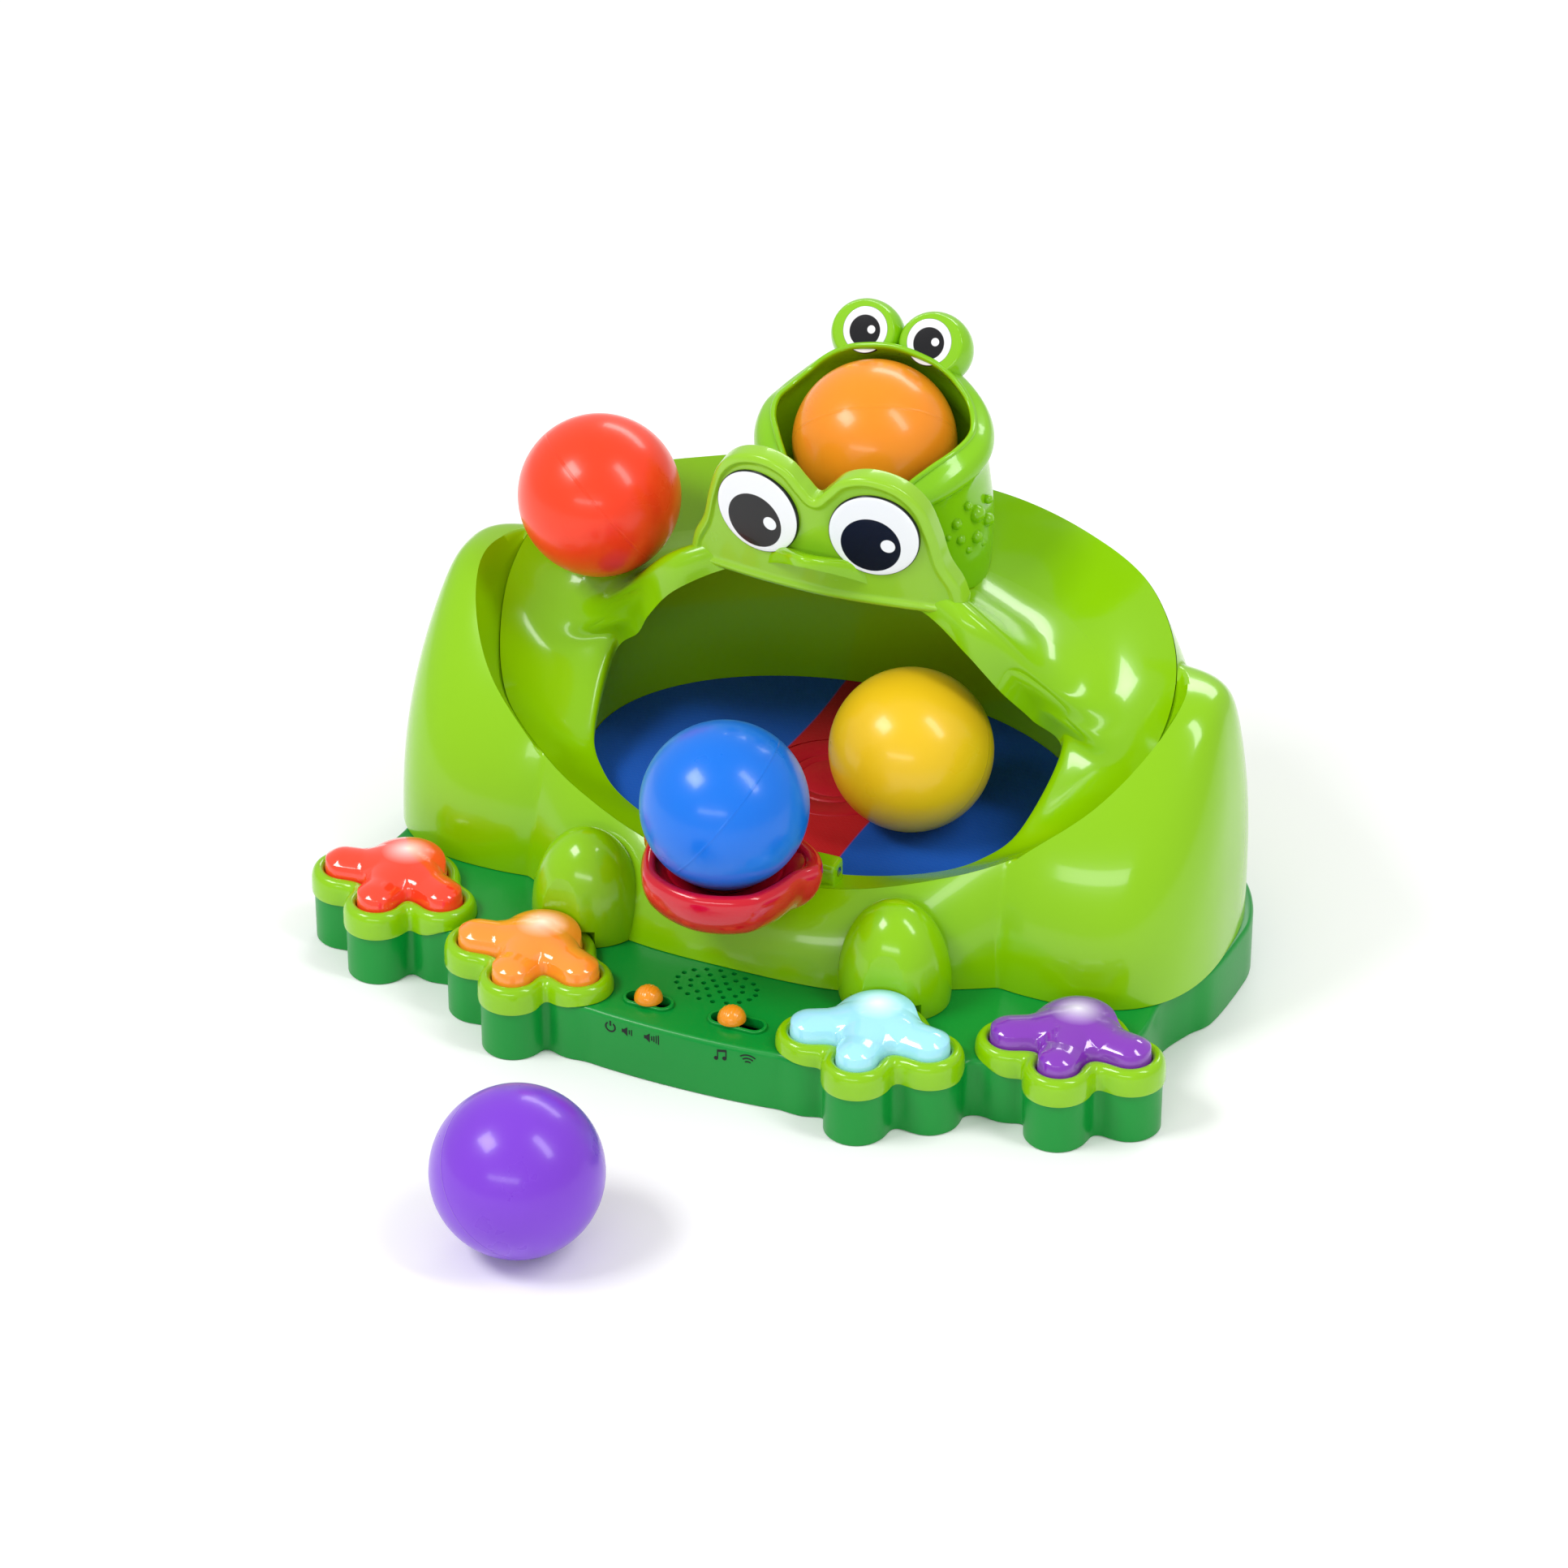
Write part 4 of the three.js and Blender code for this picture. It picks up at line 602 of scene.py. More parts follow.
def spline_rows(rows, per):
    """Open uniform Catmull-Rom through the rows, with the given steps between two of them."""
    rows = np.asarray(rows, float)
    padded_rows = np.concatenate([[2 * rows[0] - rows[1]], rows, [2 * rows[-1] - rows[-2]]])
    u = (np.arange(per) / per).reshape(-1, *[1] * (rows.ndim - 1))
    made = [blended(*padded_rows[i : i + 4], u) for i in range(len(padded_rows) - 3)]
    return np.concatenate([*made, rows[-1:]])


DEEP_LIME = plastic("deep_lime_gloss", (0.23, 0.56, 0.002), 0.2)
neck = [neck_ring(row) for row in NECK]
shaft = [neck_ring(row) for row in SHAFT]
outside = spline_rows([*neck, *[blend_ring(neck[-1], LIP_THICK, w) for w in (0.35, 0.7, 1)]], 10)
inside = spline_rows([*[blend_ring(shaft[0], 0, w) for w in (1, 0.7, 0.35)], *shaft], 8)
aim = np.array([0, -0.61, 0.79])
lip = []
for turn in np.linspace(0, math.pi, 9)[1:-1]:
    middle = (outside[-1] + inside[0]) / 2
    lip.append(middle + (outside[-1] - middle) * math.cos(turn) + aim * LIP_ROUND * math.sin(turn))
hood_skin = skin(np.concatenate([outside, lip, inside]), True)
hood = place("small_head_shell", *hood_skin, DEEP_LIME, "small_frog_head", "deep_lime_gloss", sharp=50)
EYE_TILT, SMALL_EYE, SMALL_EYE_SPOT = 58, 0.146 * BALL, (0.208, 0.29, 1.077)
BUMP_SPOT, BUMP_RADII = (0.221, 0.205, 0.995), np.array([0.234, 0.197, 0.23]) * BALL


def turned(points, tilt, toe, centre):
    """Points turned about X by the tilt, about Z by the toe, then moved."""
    c, s = math.cos(math.radians(tilt)), math.sin(math.radians(tilt))
    p = np.asarray(points, float)
    p = np.stack([p[..., 0], c * p[..., 1] - s * p[..., 2], s * p[..., 1] + c * p[..., 2]], -1)
    c, s = math.cos(math.radians(toe)), math.sin(math.radians(toe))
    return np.stack([c * p[..., 0] - s * p[..., 1], s * p[..., 0] + c * p[..., 1], p[..., 2]], -1) + centre


eye_way = turned((0, 0, 1), EYE_TILT, 0, 0)
throat = [inside[0] + aim * 14, *inside]
for side in (-1, 1):
    bump = ball_rings(BUMP_RADII, hood_spot(np.multiply(BUMP_SPOT, (side, 1, 1))), 96, 60)
    before = (bump - hood_spot(np.multiply(SMALL_EYE_SPOT, (side, 1, 1)))) @ eye_way
    bump -= np.maximum(before, 0)[..., None] * eye_way
    cut(hood, skin(bump, False), "UNION", 35)
WARTS = [
    (42.6, 56.1, 156.6, 3.4), (43.2, 55.2, 147.5, 2.5), (38.6, 46.6, 156.3, 2.2), (39.6, 48.2, 149.2, 2.0),
    (44.6, 62.6, 151.3, 2.6), (44.2, 64.0, 159.0, 1.8), (41.2, 51.2, 162.0, 1.7), (41.4, 51.6, 143.6, 1.6),
    (36.6, 43.6, 151.6, 1.3), (43.8, 59.6, 142.8, 1.4),
]
for side in (-1, 1):
    for x, y, z, radius in WARTS:
        wart = ball_rings((radius,) * 3, (side * x, y, z), 28, 16)
        cut(hood, skin(wart, False), "UNION", 35)
cut(hood, skin(throat, False), sharp=35)
wide = np.concatenate([[-0.12], across, [1.06]])
under_all = run_band(wide, [1.06, 0.5, -0.12], GAP, lambda p: p * (1, 1, 0), 320)
cut(hood, under_all, sharp=35)


# Eyes: white discs with a thin dark rim, a dark pupil and a white dot, drawn by distance in the
# disc's own plane: d = |(u, v) - (cu, cv)|, with u across and v up the disc.
EYE_RIM, EYE_SOFT = 0.35, 0.12


def within(tree, flat, cu, cv, radius, soft):
    """1 inside a circle of the plane whose two distances are given, 0 outside it."""
    point = tree.nodes.new("ShaderNodeCombineXYZ")
    tree.links.new(flat[0], point.inputs[0])
    tree.links.new(flat[1], point.inputs[1])
    away = tree.nodes.new("ShaderNodeVectorMath")
    away.operation = "DISTANCE"
    tree.links.new(point.outputs[0], away.inputs[0])
    away.inputs[1].default_value = (cu, cv, 0)
    return ranged(tree, away.outputs["Value"], 0, 1, radius + soft, radius - soft)


def eye_paint(name, centre, tilt, toe, radius, pupil, dot):
    mat, tree, shade = shader(name)
    flat = [along(tree, turned(way, tilt, toe, 0), centre) for way in ((1, 0, 0), (0, 1, 0))]
    white = within(tree, flat, 0, 0, radius - EYE_RIM, EYE_SOFT)
    color = mixed(tree, (0.01, 0.012, 0.012), (0.86, 0.88, 0.9), white)
    color = mixed(tree, color, (0.008, 0.008, 0.01), within(tree, flat, *pupil, EYE_SOFT))
    color = mixed(tree, color, (0.9, 0.92, 0.95), within(tree, flat, *dot, EYE_SOFT))
    tree.links.new(color, shade.inputs["Base Color"])
    roughened(tree, shade, 0.12, 0.2, 70, 3)
    setting(shade, {"Specular IOR Level": 0.25, "Coat Weight": 0.25})
    bumped(tree, shade, noise(tree, 700), 0.03)
    return mat


def dome_disc(radius, low, high, bulge, sides=96):
    """A disc whose front swells by bulge (1 - dd) and rounds over at its edge."""
    levels = [(0.3, low), (1, low), (1, high - 0.3), (0.992, high - 0.1), (0.975, high)]
    levels += [(d, high + bulge * (1 - d * d)) for d in (0.9, 0.75, 0.6, 0.4, 0.2, 0.05)]
    return skin(round_rings([(radius * share, h) for share, h in levels], 0, 0, sides), False)


PANEL_TILT, PANEL_BOW, BROW_TIP = 95, 326, (0, 4.284, 169.017)
BIG_EYE, BIG_EYE_X, BIG_EYE_TOE = 17, 22.8, 8
for side, word in ((-1, "left"), (1, "right")):
    middle = hood_spot(np.multiply(SMALL_EYE_SPOT, (side, 1, 1)))
    points, faces = dome_disc(SMALL_EYE, -1, 0, 0.25)
    name = f"small_eye_{word}"
    paint = eye_paint(name, middle, EYE_TILT, 0, SMALL_EYE, (0, -0.5, 6), (2.4, 0.4, 1.5))
    place(f"{name}_disc", turned(points, EYE_TILT, 0, middle), faces, paint, name, "eye_white")
    bow = BIG_EYE_X**2 / PANEL_BOW
    lean = math.radians(PANEL_TILT - 90)
    middle = np.array([side * BIG_EYE_X, bow * math.cos(lean), bow * math.sin(lean)]) + BROW_TIP
    points, faces = dome_disc(BIG_EYE, -0.9, 0.5, 0.2)
    name, toe = f"big_eye_{word}", side * BIG_EYE_TOE
    paint = eye_paint(name, middle, PANEL_TILT, toe, BIG_EYE, (-1.2, -4, 11.2), (5.2, -3.5, 2.7))
    place(f"{name}_disc", turned(points, PANEL_TILT, toe, middle), faces, paint, name, "eye_white")

# Eye panel: a bowed plate of two lobes. Its depth is f(d) of the distance d from its edge: a
# rounded corner up to 1.4, a raised bead near 2.5, and a slightly sunk face beyond it.
PANEL = [
    (0, 0.606, -0.667), (0.083, 0.727, -0.667), (0.204, 0.924, -0.667), (0.389, 1, -0.673),
    (0.593, 0.909, -0.685), (0.741, 0.667, -0.7), (0.824, 0.303, -0.712), (0.88, -0.06, -0.72),
    (0.963, -0.333, -0.727), (1, -0.545, -0.606),
]
PALE_LIME = plastic("pale_lime_gloss", (0.29, 0.58, 0.02), 0.25)
half = np.array(PANEL)
mirror = half[1:][::-1] * (-1, 1, 1)
PANEL_HALF, PANEL_TALL, PANEL_DROP = 54, 33, 9
PANEL_ROUND, PANEL_THICK = 1.4, 8
slices = spline_rows(np.vstack([mirror, half]), 12) * (PANEL_HALF, PANEL_TALL, PANEL_TALL)
slices = slices - (0, PANEL_DROP, PANEL_DROP)
edge = np.vstack([slices[:, :2], slices[::-1][:, [0, 2]]])


def off_line(x, y, line):
    """Distance of each spot to a closed line of points."""
    best = np.full(x.shape, 1e9)
    for a, b in zip(line, np.roll(line, -1, 0)):
        run, size = b - a, max(((b - a) ** 2).sum(), 1e-9)
        share = np.clip(((x - a[0]) * run[0] + (y - a[1]) * run[1]) / size, 0, 1)
        best = np.minimum(best, np.hypot(x - a[0] - run[0] * share, y - a[1] - run[1] * share))
    return best


up = 1 - (1 - np.linspace(0, 1, 90)) ** 1.5
panel_x = np.repeat(slices[:, :1], len(up), 1)
panel_y = slices[:, 2:3] + (slices[:, 1:2] - slices[:, 2:3]) * up
d = off_line(panel_x, panel_y, edge)
corner = np.sqrt(np.maximum(PANEL_ROUND**2 - np.maximum(PANEL_ROUND - d, 0) ** 2, 0)) - PANEL_ROUND
bead = 0.55 * np.exp(-(((d - 2.5) / 1.1) ** 2)) - 0.45 * np.clip((d - 2.8) / 1.4, 0, 1)
bowed = -(panel_x**2) / PANEL_BOW
front = np.stack([panel_x, panel_y, bowed + corner + bead], -1)
rear = np.stack([panel_x, panel_y, bowed - PANEL_THICK - corner], -1)[:, ::-1]
points, faces = skin(np.concatenate([front, rear], 1), False)
points = turned(points, PANEL_TILT, 0, BROW_TIP)
place("eye_panel_plate", points, faces, PALE_LIME, "eye_panel", "pale_lime_gloss", sharp=50)

# Base: a tub whose outline is the smooth union of a plain outline and the four paws' lobes. Its
# signed distances are joined as min(a, b) - max(k - |a - b|, 0)^2 / 4k, and each level line of
# the joined field is traced on a grid.
BASE = np.array([
    (0, -0.926), (0.122, -0.922), (0.244, -0.906), (0.378, -0.859), (0.518, -0.789), (0.659, -0.703),
    (0.793, -0.625), (0.902, -0.531), (0.93, -0.391), (0.925, -0.234), (0.957, -0.109), (0.988, -0.031),
    (1, 0.156), (0.994, 0.281), (0.945, 0.43), (0.854, 0.5625), (0.732, 0.695), (0.561, 0.828),
    (0.366, 0.922), (0.183, 0.973), (0, 0.988),
]) * (HALF_WIDTH, HALF_DEPTH)
GRID = 1.25
grid_x, grid_y = np.arange(-176, 176.1, GRID), np.arange(-138, 134.1, GRID)
field_x, field_y = np.meshgrid(grid_x, grid_y, indexing="ij")


def signed(line):
    """Distance of every grid point to a closed line, negative inside it."""
    inside_line = np.zeros(field_x.shape, bool)
    for a, b in zip(line, np.roll(line, -1, 0)):
        if a[1] != b[1]:
            crosses = (a[1] > field_y) != (b[1] > field_y)
            lean = (b[0] - a[0]) / (b[1] - a[1])
            inside_line ^= crosses & (field_x < a[0] + (field_y - a[1]) * lean)
    return off_line(field_x, field_y, line) * np.where(inside_line, -1, 1)


def level_line(field, level, count):
    """The longest closed line where the field has the level, as evenly spaced points."""
    above = field > level
    links = {}

    def crossing(i, j, k, m):
        a, b = field[i, j], field[k, m]
        share = (level - a) / (b - a)
        return (grid_x[i] + (grid_x[k] - grid_x[i]) * share, grid_y[j] + (grid_y[m] - grid_y[j]) * share)

    around_cell = [above[:-1, :-1], above[1:, :-1], above[1:, 1:], above[:-1, 1:]]
    mixed_cells = np.argwhere(np.any(around_cell, 0) & ~np.all(around_cell, 0))
    for i, j in mixed_cells.tolist():
        corners = [(i, j), (i + 1, j), (i + 1, j + 1), (i, j + 1)]
        cuts = []
        for a, b in zip(corners, corners[1:] + corners[:1]):
            if above[a] != above[b]:
                cuts.append((min(a, b), max(a, b)))
        for a, b in zip(cuts[::2], cuts[1::2]):
            links.setdefault(a, []).append(b)
            links.setdefault(b, []).append(a)
    loops = []
    left = set(links)
    while left:
        start = min(left)
        loop, here = [start], start
        left.discard(start)
        while True:
            onward = [c for c in links[here] if c in left]
            if not onward:
                break
            here = onward[0]
            left.discard(here)
            loop.append(here)
        loops.append(loop)
    longest = max(loops, key=len)
    line = np.array([crossing(*a, *b) for a, b in longest])
    if (line[:, 0] * np.roll(line[:, 1], -1) - line[:, 1] * np.roll(line[:, 0], -1)).sum() < 0:
        line = line[::-1]
    closed = np.vstack([line, line[:1]])
    length = np.concatenate([[0], np.cumsum(np.hypot(*np.diff(closed, axis=0).T))])
    spots = np.arange(count) / count * length[-1]
    even = np.column_stack([np.interp(spots, length, closed[:, k]) for k in (0, 1)])
    for _ in range(3):
        even = (np.roll(even, 1, 0) + 2 * even + np.roll(even, -1, 0)) / 4
    return even


def joined(a, b, k):
    return np.minimum(a, b) - np.maximum(k - np.abs(a - b), 0) ** 2 / (4 * k)


LOBE_GROW, TUB_WALL, DECK_UNDER = 4.4, 2.5, 21.5
plain_field = signed(closed_curve(BASE, np.arange(360) / 360))
base_field = plain_field
for paw, (side, x, y) in PAWS.items():
    lobe = paw_outline(LOBE_GROW, 96) * (side, 1) + (x, y)
    base_field = joined(base_field, signed(lobe), 3)


def upright(line, z):
    return np.column_stack([line, np.full(len(line), float(z))])


GREEN = plastic("base_green_satin", (0.0, 0.27, 0.03), 0.34, 0.12, 0.12)
rim_line = level_line(base_field, 0, 1400)
along_rim = np.roll(rim_line, -4, 0) - np.roll(rim_line, 4, 0)
along_rim /= np.linalg.norm(along_rim, axis=1, keepdims=True)
inward = np.column_stack([-along_rim[:, 1], along_rim[:, 0]])
base_levels = [(0.5, 0), (0, 0.5), (0, 21.9), (0.12, 22.6), (0.45, 23.25)]
base_levels += [(0.9, 23.7), (1.4, 23.93), (2, BASE_HEIGHT)]
base_rings = [upright(rim_line + inward * inset, z) for inset, z in base_levels]
base_piece = place("base_tub", *skin(base_rings, False), GREEN, "base_housing", "base_green")
cavity = level_line(base_field, -TUB_WALL, 900)
cut(base_piece, skin([upright(cavity, -5), upright(cavity, DECK_UNDER)], False))
for paw in PAWS:
    cut(base_piece, paw_prism(paw, 0.4, 0, 60))


def together(*shells):
    """Several closed shells as the points and faces of one mesh."""
    points, faces, start = [], [], 0
    for spots, sides in shells:
        points.append(spots)
        faces += [[start + k for k in side] for side in sides]
        start += len(spots)
    return np.concatenate(points), faces


def stadium(length, width, low, high, x, y, soft=0.0):
    """A closed block with round ends, whose top edge is rounded over by soft."""
    half_turn = np.linspace(-math.pi / 2, math.pi / 2, 25)
    reach = (length - width) / 2
    right = np.column_stack([reach + width / 2 * np.cos(half_turn), width / 2 * np.sin(half_turn)])
    line = np.vstack([right, -right])
    out = line - np.column_stack([np.sign(line[:, 0]) * reach, np.zeros(len(line))])
    out /= np.linalg.norm(out, axis=1, keepdims=True)
    levels = [(0, low), (0, high - soft)]
    if soft:
        turns = (0.4, 0.8, 1.2, 1.57)
        levels += [(soft * (1 - math.cos(a)), high - soft * (1 - math.sin(a))) for a in turns]
    return skin([upright(line - out * inset + (x, y), z) for inset, z in levels], False)


SWITCH_Y = -0.8125 * HALF_DEPTH
GRILLE_Y = -0.664 * HALF_DEPTH
SWITCHES = {"volume_knob": (-18.5, -18.5, 19.6), "mode_knob": (16.5, 14.3, 22.6)}
COLLAR_WIDTH, COLLAR_WALL = 9, 1.2
GRILLE_X_REACH, GRILLE_Y_REACH, GRILLE_HOLE = 17, 11, 1.0
for x, _, length in SWITCHES.values():
    cut(base_piece, stadium(length, COLLAR_WIDTH, 22.8, 25.2, x, SWITCH_Y, 0.5), "UNION")
    slot_length, slot_width = length - 2 * COLLAR_WALL, COLLAR_WIDTH - 2 * COLLAR_WALL
    cut(base_piece, stadium(slot_length, slot_width, 0, 29, x, SWITCH_Y))
grille = []
for count, share in ((1, 0), (6, 0.3), (12, 0.6), (18, 0.9)):
    for i in range(count):
        turn = i * 2 * math.pi / count
        hole_x = share * GRILLE_X_REACH * math.cos(turn)
        hole_y = GRILLE_Y + share * GRILLE_Y_REACH * math.sin(turn)
        grille.append(tube(GRILLE_HOLE, 18, 29, hole_x, hole_y, 18))
cut(base_piece, together(*grille))

# Printed signs: flat strokes on the base's front wall under the switches, a power ring, a low
# and a high speaker, a note and three waves. A stroke is its line widened to both sides.
INK = plastic("sign_ink", (0.006, 0.008, 0.008), 0.5, 0.0, 0.1)
SIGN_Z = 19.2
front_rim = rim_line[(rim_line[:, 1] < -100) & (np.abs(rim_line[:, 0]) < 48)]
front_rim = front_rim[np.argsort(front_rim[:, 0])]


def on_wall(flat):
    """Points across and up the front wall, just proud of it and just sunk in it."""
    wall = np.interp(flat[:, 0], front_rim[:, 0], front_rim[:, 1])
    return [np.column_stack([flat[:, 0], wall + out, flat[:, 1]]) for out in (-0.14, 0.1)]


def stroke(line, width):
    line = np.asarray(line, float)
    ahead = np.gradient(line, axis=0)
    ahead /= np.linalg.norm(ahead, axis=1, keepdims=True)
    off = np.column_stack([-ahead[:, 1], ahead[:, 0]]) * width / 2
    return skin(on_wall(np.vstack([line + off, (line - off)[::-1]])), False)


def arc(x, z, radius, start, stop):
    a = np.radians(np.linspace(start, stop, 24))
    return np.column_stack([x + radius * np.cos(a), z + radius * np.sin(a)])


def blob_at(x, z, radius):
    return skin(on_wall(arc(x, z, radius, 0, 345)), False)


POWER_X, NOTE_X, NOTE_STEM, WAVES_X = -27.5, 14.4, 3.2, 26.5
signs = [stroke(arc(POWER_X, SIGN_Z, 1.9, 125, 415), 0.6)]
signs.append(stroke([(POWER_X, SIGN_Z + 0.5), (POWER_X, SIGN_Z + 2.6)], 0.6))
for x, bars in ((-20.6, 2), (-11.6, 4)):
    horn = np.array([(-2.2, -0.7), (-1.4, -0.7), (0, -1.9), (0, 1.9), (-1.4, 0.7), (-2.2, 0.7)])
    signs.append(skin(on_wall(horn + (x, SIGN_Z)), False))
    for k in range(bars):
        tall = 0.9 + 0.35 * k
        signs.append(stroke([(x + 0.8 + 0.9 * k, SIGN_Z - tall), (x + 0.8 + 0.9 * k, SIGN_Z + tall)], 0.4))
for x, low in ((NOTE_X, -1.6), (NOTE_X + NOTE_STEM, -1.1)):
    signs.append(blob_at(x, SIGN_Z + low, 0.8))
    signs.append(stroke([(x + 0.6, SIGN_Z + low), (x + 0.6, SIGN_Z + low + 3.3)], 0.4))
signs.append(stroke([(NOTE_X + 0.4, SIGN_Z + 1.7), (NOTE_X + NOTE_STEM + 0.8, SIGN_Z + 2.3)], 0.9))
signs += [stroke(arc(WAVES_X, SIGN_Z - 2, r, 50, 130), 0.5) for r in (1.6, 3, 4.4)]
place("base_signs", *together(*signs), INK, "base_housing", "base_green")

# Switch knobs: orange moulded half balls with fine ridges across for a finger, each on a stem
# that runs in its slot.
KNOB = plastic("knob_orange_gloss", (0.88, 0.30, 0.01), 0.25)
KNOB_RADIUS, KNOB_FOOT, RIDGE_DEEP, RIDGE_TURN = 5.25, 25.5, 0.25, 2.4
climb = np.linspace(0.12, 1.5, 16)
knob_profile = [(2.8, 21.2), (2.8, KNOB_FOOT), (KNOB_RADIUS, KNOB_FOOT)]
knob_profile += [(KNOB_RADIUS * math.cos(v), KNOB_FOOT + KNOB_RADIUS * math.sin(v)) for v in climb]
for (name, (_, x, _)), body in zip(SWITCHES.items(), ("volume_slide", "mode_slide")):
    rings = round_rings(knob_profile, x, SWITCH_Y, 72)
    for ring, v in zip(rings[3:], climb):
        ring[:, 2] -= RIDGE_DEEP * np.cos((ring[:, 0] - x) * RIDGE_TURN) ** 2 * math.sin(v)
    place(f"{name}_dome", *skin(rings, False), KNOB, name, "knob_orange", body=body)

# Tongue: a dish in the outline of a leaf with a rolled rim, on a barrel that turns round a pin.
# Its floor is a shallow bowl, 52 - sqrt(52^2 - rr) above its middle, with three fine grooves.
LIP_Y, LIP_Z = -0.352 * HALF_DEPTH, 0.376 * CREST_HEIGHT
PIN_Y, PIN_Z = LIP_Y - 2, LIP_Z + 5.2
TONGUE_Y = -0.4375 * HALF_DEPTH - 21
TONGUE = [
    (0, -0.886), (0.331, -0.82), (0.603, -0.669), (0.731, -0.474), (0.814, -0.266), (0.886, 0),
    (0.991, 0.211), (0.84, 0.486), (0.414, 0.717), (0, 0.686),
]
TONGUE_RED = plastic("tongue_gloss_red", (0.60, 0.002, 0.016), 0.18, 0.6, 0.05)
TONGUE_REACH, BOWL, GROOVES, GROOVE_DEEP = 35, 52, (6, 12, 21), 0.35
tongue_line = closed_curve(TONGUE, np.arange(240) / 240) * TONGUE_REACH
under_z, floor_z, top_z = LIP_Z + 3.2, LIP_Z + 12.4, LIP_Z + 22.2
tongue_rings = []
TONGUE_SIDE = [
    (0.1, 0), (0.7, 0), (0.78, 0.03), (0.86, 0.14), (0.93, 0.3), (0.975, 0.48),
    (0.995, 0.64), (1, 0.76), (0.994, 0.86), (0.978, 0.94), (0.955, 0.985), (0.93, 1),
]
for share, up_share in TONGUE_SIDE:
    z = under_z + up_share * (top_z - under_z)
    tongue_rings.append(upright(tongue_line * share + (0, TONGUE_Y), z))
reach = np.hypot(*tongue_line.T)
brim = np.clip(np.maximum(0.82, 23.2 / reach), 0, 0.94)
for inset, drop in [(0.5, 0.12), (0.1, 0.9), (0, 1.8)]:
    share = brim + (0.93 - brim) * inset
    tongue_rings.append(upright(tongue_line * share[:, None] + (0, TONGUE_Y), top_z - drop))
for share in np.linspace(0.985, 0.03, 44):
    spot = tongue_line * (brim * share)[:, None]
    far = np.hypot(*spot.T)
    height = floor_z + BOWL - np.sqrt(BOWL**2 - far**2)
    grooves = sum(GROOVE_DEEP * np.exp(-(((far - r) / 0.5) ** 2)) for r in GROOVES)
    tongue_rings.append(np.column_stack([spot + (0, TONGUE_Y), height - grooves]))
place("tongue_dish", *skin(tongue_rings, False), TONGUE_RED, "tongue", "tongue_red", body="tongue_lever")


def rod_x(radius, low, high, y, z, bore=0.0, sides=64):
    """A round bar along X with softened ends, bored through where bore is given."""
    levels = [(radius - 0.5, low), (radius, low + 0.5), (radius, high - 0.5), (radius - 0.5, high)]
    if bore:
        levels += [(bore, high), (bore, low)]
    a = np.arange(sides) * 2 * math.pi / sides
    rings = [np.stack([0 * a + x, y + r * np.cos(a), z + r * np.sin(a)], -1) for r, x in levels]
    return skin(rings, bool(bore))


for side in (-1, 1):
    ends = sorted((side * 5, side * 20.7))
    name = f"tongue_barrel_{'left' if side < 0 else 'right'}"
    barrel = rod_x(4, *ends, PIN_Y, PIN_Z, 1.75)
    place(name, *barrel, TONGUE_RED, "tongue", "tongue_red", body="tongue_lever")


def soft_block(size, centre, soft):
    """A box with rounded vertical and level edges, as a superellipsoid of power 8."""
    v = np.linspace(-math.pi / 2 + 0.01, math.pi / 2 - 0.01, 33)[:, None]
    a = (np.arange(96) * 2 * math.pi / 96)[None]
    power = lambda w: np.sign(w) * np.abs(w) ** soft
    x = power(np.cos(v)) * power(np.cos(a)) * size[0] / 2
    y = power(np.cos(v)) * power(np.sin(a)) * size[1] / 2
    z = power(np.sin(v)) * size[2] / 2 + 0 * a
    return skin(np.stack([x, y, z], -1) + centre, False)


neck_front = TONGUE_Y + 5
middle = (0, (PIN_Y + neck_front) / 2 - 1, PIN_Z + 2.3)
neck_block = soft_block((34, PIN_Y - neck_front, 3.4), middle, 0.25)
place("tongue_neck", *neck_block, TONGUE_RED, "tongue", "tongue_red", body="tongue_lever")
for side in (-1, 1):
    middle = (side * 26.5, PIN_Y, (PIN_Z + 4 + LIP_Z - 2) / 2)
    lug = soft_block((11, 9, PIN_Z + 4 - LIP_Z + 2), middle, 0.25)
    lug = place(f"tongue_lug_{'left' if side < 0 else 'right'}", *lug, LIME, "ball_run", "lime_gloss")
    cut(lug, rod_x(1.9, *sorted((side * 15, side * 40)), PIN_Y, PIN_Z))

# Paws: a puffy bezel, highest beside each toe, whose skirt hangs outside the base's plain
# outline, round a glossy lens lit from below its palm. The lens top is the smooth maximum of a
# dome over the palm and a ridge from there out to each toe.
LENSES = {
    "left_outer": ("lens_red", (0.90, 0.045, 0.012)),
    "left_inner": ("lens_orange", (0.92, 0.27, 0.02)),
    "right_inner": ("lens_blue", (0.33, 0.72, 0.86)),
    "right_outer": ("lens_purple", (0.20, 0.025, 0.42)),
}
DECK_Z, HUMP_Z = 24.3, 26
PALM_RISE, TOE_RISE, LENS_STEP = 7.4, 5.4, 0.45


def lens_height(spot):
    def ridge(rise, radius, end):
        share = np.clip((spot @ end) / (end @ end), 0, 1)
        off = ((spot - share[:, None] * end) ** 2).sum(-1) / radius**2
        return rise * np.sqrt(np.maximum(1 - off, 0))

    high = ridge(PALM_RISE, PALM * 1.05, np.array([0.5, 3.0]))
    for toe in TOES:
        high = smooth_max(high, ridge(TOE_RISE, TOE, toe), 4)
    return BEZEL_TOP + high


def toe_hump(high):
    """The bezel's top is highest beside each toe."""

    def height(spot):
        near = np.min([np.hypot(*(spot - toe * 1.12).T) for toe in TOES], 0)
        return high - 1.3 * (1 - np.exp(-((near / 9) ** 2))) * max(high - HUMP_Z, 0) / 5

    return height


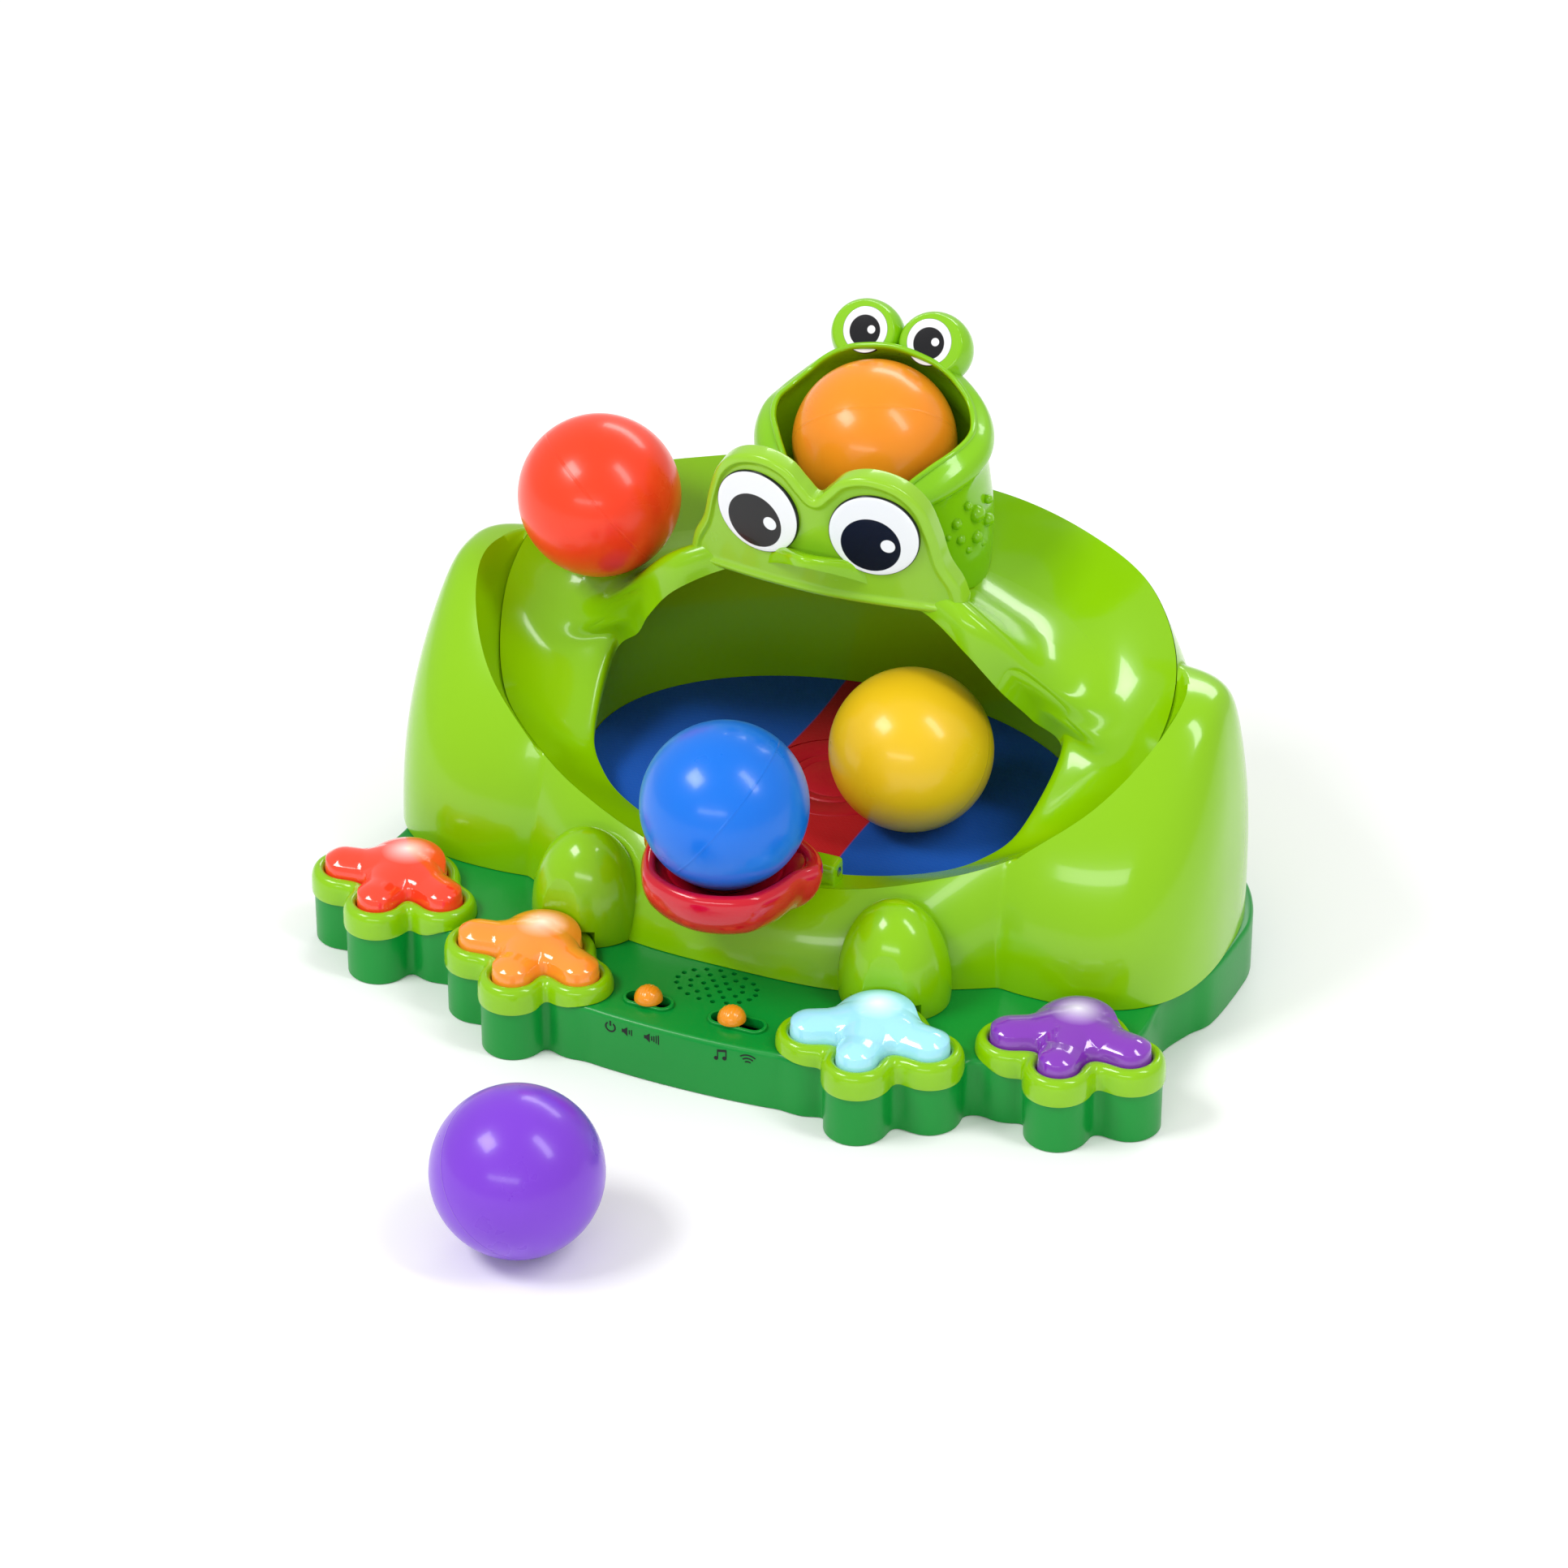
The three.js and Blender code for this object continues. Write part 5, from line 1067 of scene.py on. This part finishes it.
def skirt_or_hump(high, side, x, y):
    """Under the deck's level the bezel hangs down only outside the base's plain outline."""
    if high > HUMP_Z:
        return toe_hump(high)

    def height(spot):
        i = np.clip(((x + side * spot[:, 0] - grid_x[0]) / GRID).round().astype(int), 0, len(grid_x) - 1)
        j = np.clip(((y + spot[:, 1] - grid_y[0]) / GRID).round().astype(int), 0, len(grid_y) - 1)
        hang = np.clip((plain_field[i, j] - 2.2) / 3, 0, 1)
        hang = np.convolve(np.tile(hang, 3), np.ones(9) / 9, "same")[len(hang) : 2 * len(hang)]
        return DECK_Z - (DECK_Z - high) * hang if high < DECK_Z else np.full(len(spot), high)

    return height


def lens_paint(name, color, x, y):
    mat, tree, shade = shader(name)
    flat = [along(tree, (1, 0, 0), (x, 0, 0)), along(tree, (0, 1, 0), (0, y, 0))]
    lamp_glow = within(tree, flat, 0, 3, 4, 6)
    pale = tuple(0.45 * c + 0.55 for c in color)
    tree.links.new(mixed(tree, color, pale, lamp_glow), shade.inputs["Base Color"])
    tree.links.new(mixed(tree, color, (1, 1, 1), lamp_glow), shade.inputs["Emission Color"])
    tree.links.new(ranged(tree, lamp_glow, 0.1, 0.65), shade.inputs["Emission Strength"])
    roughened(tree, shade, 0.1, 0.16, 60)
    setting(shade, {"Coat Weight": 0.8})
    bumped(tree, shade, noise(tree, 500, 2), 0.05)
    return mat


for paw, (slot, color) in LENSES.items():
    side, x, y = PAWS[paw]
    profile = [
        (4.75, 20.6), (5.15, 20.3), (5.3, 20.9), (5.3, 22.6), (5.25, DECK_Z), (5.2, 26),
        (5, 27.6), (4.75, 28.6), (4.4, 29.5), (3.9, 30.3), (3.3, 30.8), (2.6, 31),
        (1.8, 30.85), (1.1, 30.4), (0.6, 29.7), (0.4, 28.8), (0.4, DECK_Z), (4.75, DECK_Z),
    ]
    rings = paw_rings(paw, [(grow, 1, skirt_or_hump(z, side, x, y)) for grow, z in profile])
    place(f"paw_bezel_{paw}_ring", *skin(rings, True), LIME, f"paw_bezel_{paw}", "lime_gloss", sharp=50)
    foot_z = 21.2
    levels = [(0.8, 1, foot_z - 2.7), (0.8, 1, foot_z), (0, 1, foot_z), (0, 1, BEZEL_TOP)]
    levels += [(-0.25, 1, BEZEL_TOP + LENS_STEP)]
    shares = 1 - (1 - np.linspace(0.04, 1, 36)[::-1]) ** 1.2
    levels += [(-0.3, share, lambda spot: lens_height(spot) + LENS_STEP) for share in shares]
    rings = paw_rings(paw, levels)
    paint = lens_paint(f"{slot}_glow", color, x, y)
    name = f"paw_button_{paw}"
    place(f"{name}_lens", *skin(rings, False), paint, name, slot, body=f"{paw}_paw", sharp=60)

# Balls: loose and light spheres of blow-moulded plastic, each with a faint seam round it where
# the halves of its mould met.
ON_CLOTH = (0.385 * CLOTH_X, CLOTH_MIDDLE - 0.241 * CLOTH_Y, CLOTH_TOP + GAP + BALL / 2)
BALLS = {
    "red": ((-97.58, 29.952, 146.9), (0.93, 0.05, 0.01)),
    "orange": ((0, CREST_BACK - 0.631 * BALL, CREST_HEIGHT + 0.521 * BALL), (0.90, 0.28, 0.012)),
    "blue": ((0, TONGUE_Y, floor_z + GAP + BALL / 2), (0.002, 0.17, 0.74)),
    "yellow": (ON_CLOTH, (0.84, 0.54, 0.012)),
    "purple": ((-0.081 * HALF_WIDTH, -1.753 * HALF_DEPTH, BALL / 2), (0.20, 0.045, 0.62)),
}


def ball_paint(name, color, middle, seam):
    mat, tree, shade = shader(name)
    mottled(tree, shade, color, 0.92, 14)
    roughened(tree, shade, 0.24, 0.34, 50)
    setting(shade, {"Specular IOR Level": 0.3, "Coat Weight": 0.25, "Coat Roughness": 0.12})
    setting(shade, {"Subsurface Weight": 0.25, "Subsurface Radius": (1, 1, 1), "Subsurface Scale": 0.006})
    off = along(tree, seam, middle)
    ridge = ranged(tree, calc(tree, "ABSOLUTE", off), 1, 0, 0.1, 0.6)
    grain = ranged(tree, noise(tree, 420, 2), 0, 0.12)
    total = calc(tree, "ADD", ridge, grain)
    bumped(tree, shade, total, 0.5, 0.0003)
    return mat


for index, (colour, (middle, paint)) in enumerate(BALLS.items()):
    turn = 0.7 + 1.3 * index
    seam = (math.cos(turn) * 0.8, math.sin(turn) * 0.8, 0.6)
    rings = ball_rings((BALL / 2,) * 3, middle, 96, 64)
    mat = ball_paint(f"ball_{colour}_plastic", paint, middle, seam)
    name = f"ball_{colour}"
    place(f"{name}_sphere", *skin(rings, False), mat, name, name, body=f"loose_{colour}_ball")


# Inside and underneath: the cover, door, screws, cells, speaker, board and kicker take finished
# materials, because their solids are right as they are.
def metal(name, color, roughness):
    mat, tree, shade = shader(name)
    mottled(tree, shade, color, 0.8, 80, 4)
    roughened(tree, shade, roughness * 0.7, roughness * 1.3, 300, 3)
    setting(shade, {"Metallic": 1})
    return mat


FINISHES = {
    "base_green_matte": plastic("base_green_matte", (0.0, 0.25, 0.04), 0.5, 0.05, 0.3),
    "steel": metal("steel", (0.62, 0.63, 0.65), 0.28),
    "cell_sleeve": plastic("cell_sleeve", (0.05, 0.055, 0.06), 0.3, 0.3),
    "grey_plastic": plastic("grey_plastic", (0.08, 0.085, 0.09), 0.5, 0.05, 0.3),
    "white_plastic": plastic("white_plastic", (0.8, 0.8, 0.78), 0.4, 0.1, 0.2),
    "board_green": plastic("board_green", (0.01, 0.14, 0.04), 0.45, 0.2, 0.2),
    "lamp_white": plastic("lamp_white", (0.95, 0.93, 0.88), 0.2, 0.5),
}
for part in frame["record"]["subparts"]:
    finish = FINISHES.get(part["material_slot"])
    node = frame["nodes"].get(part["node"])
    if finish and node:
        node.data.materials.clear()
        node.data.materials.append(finish)
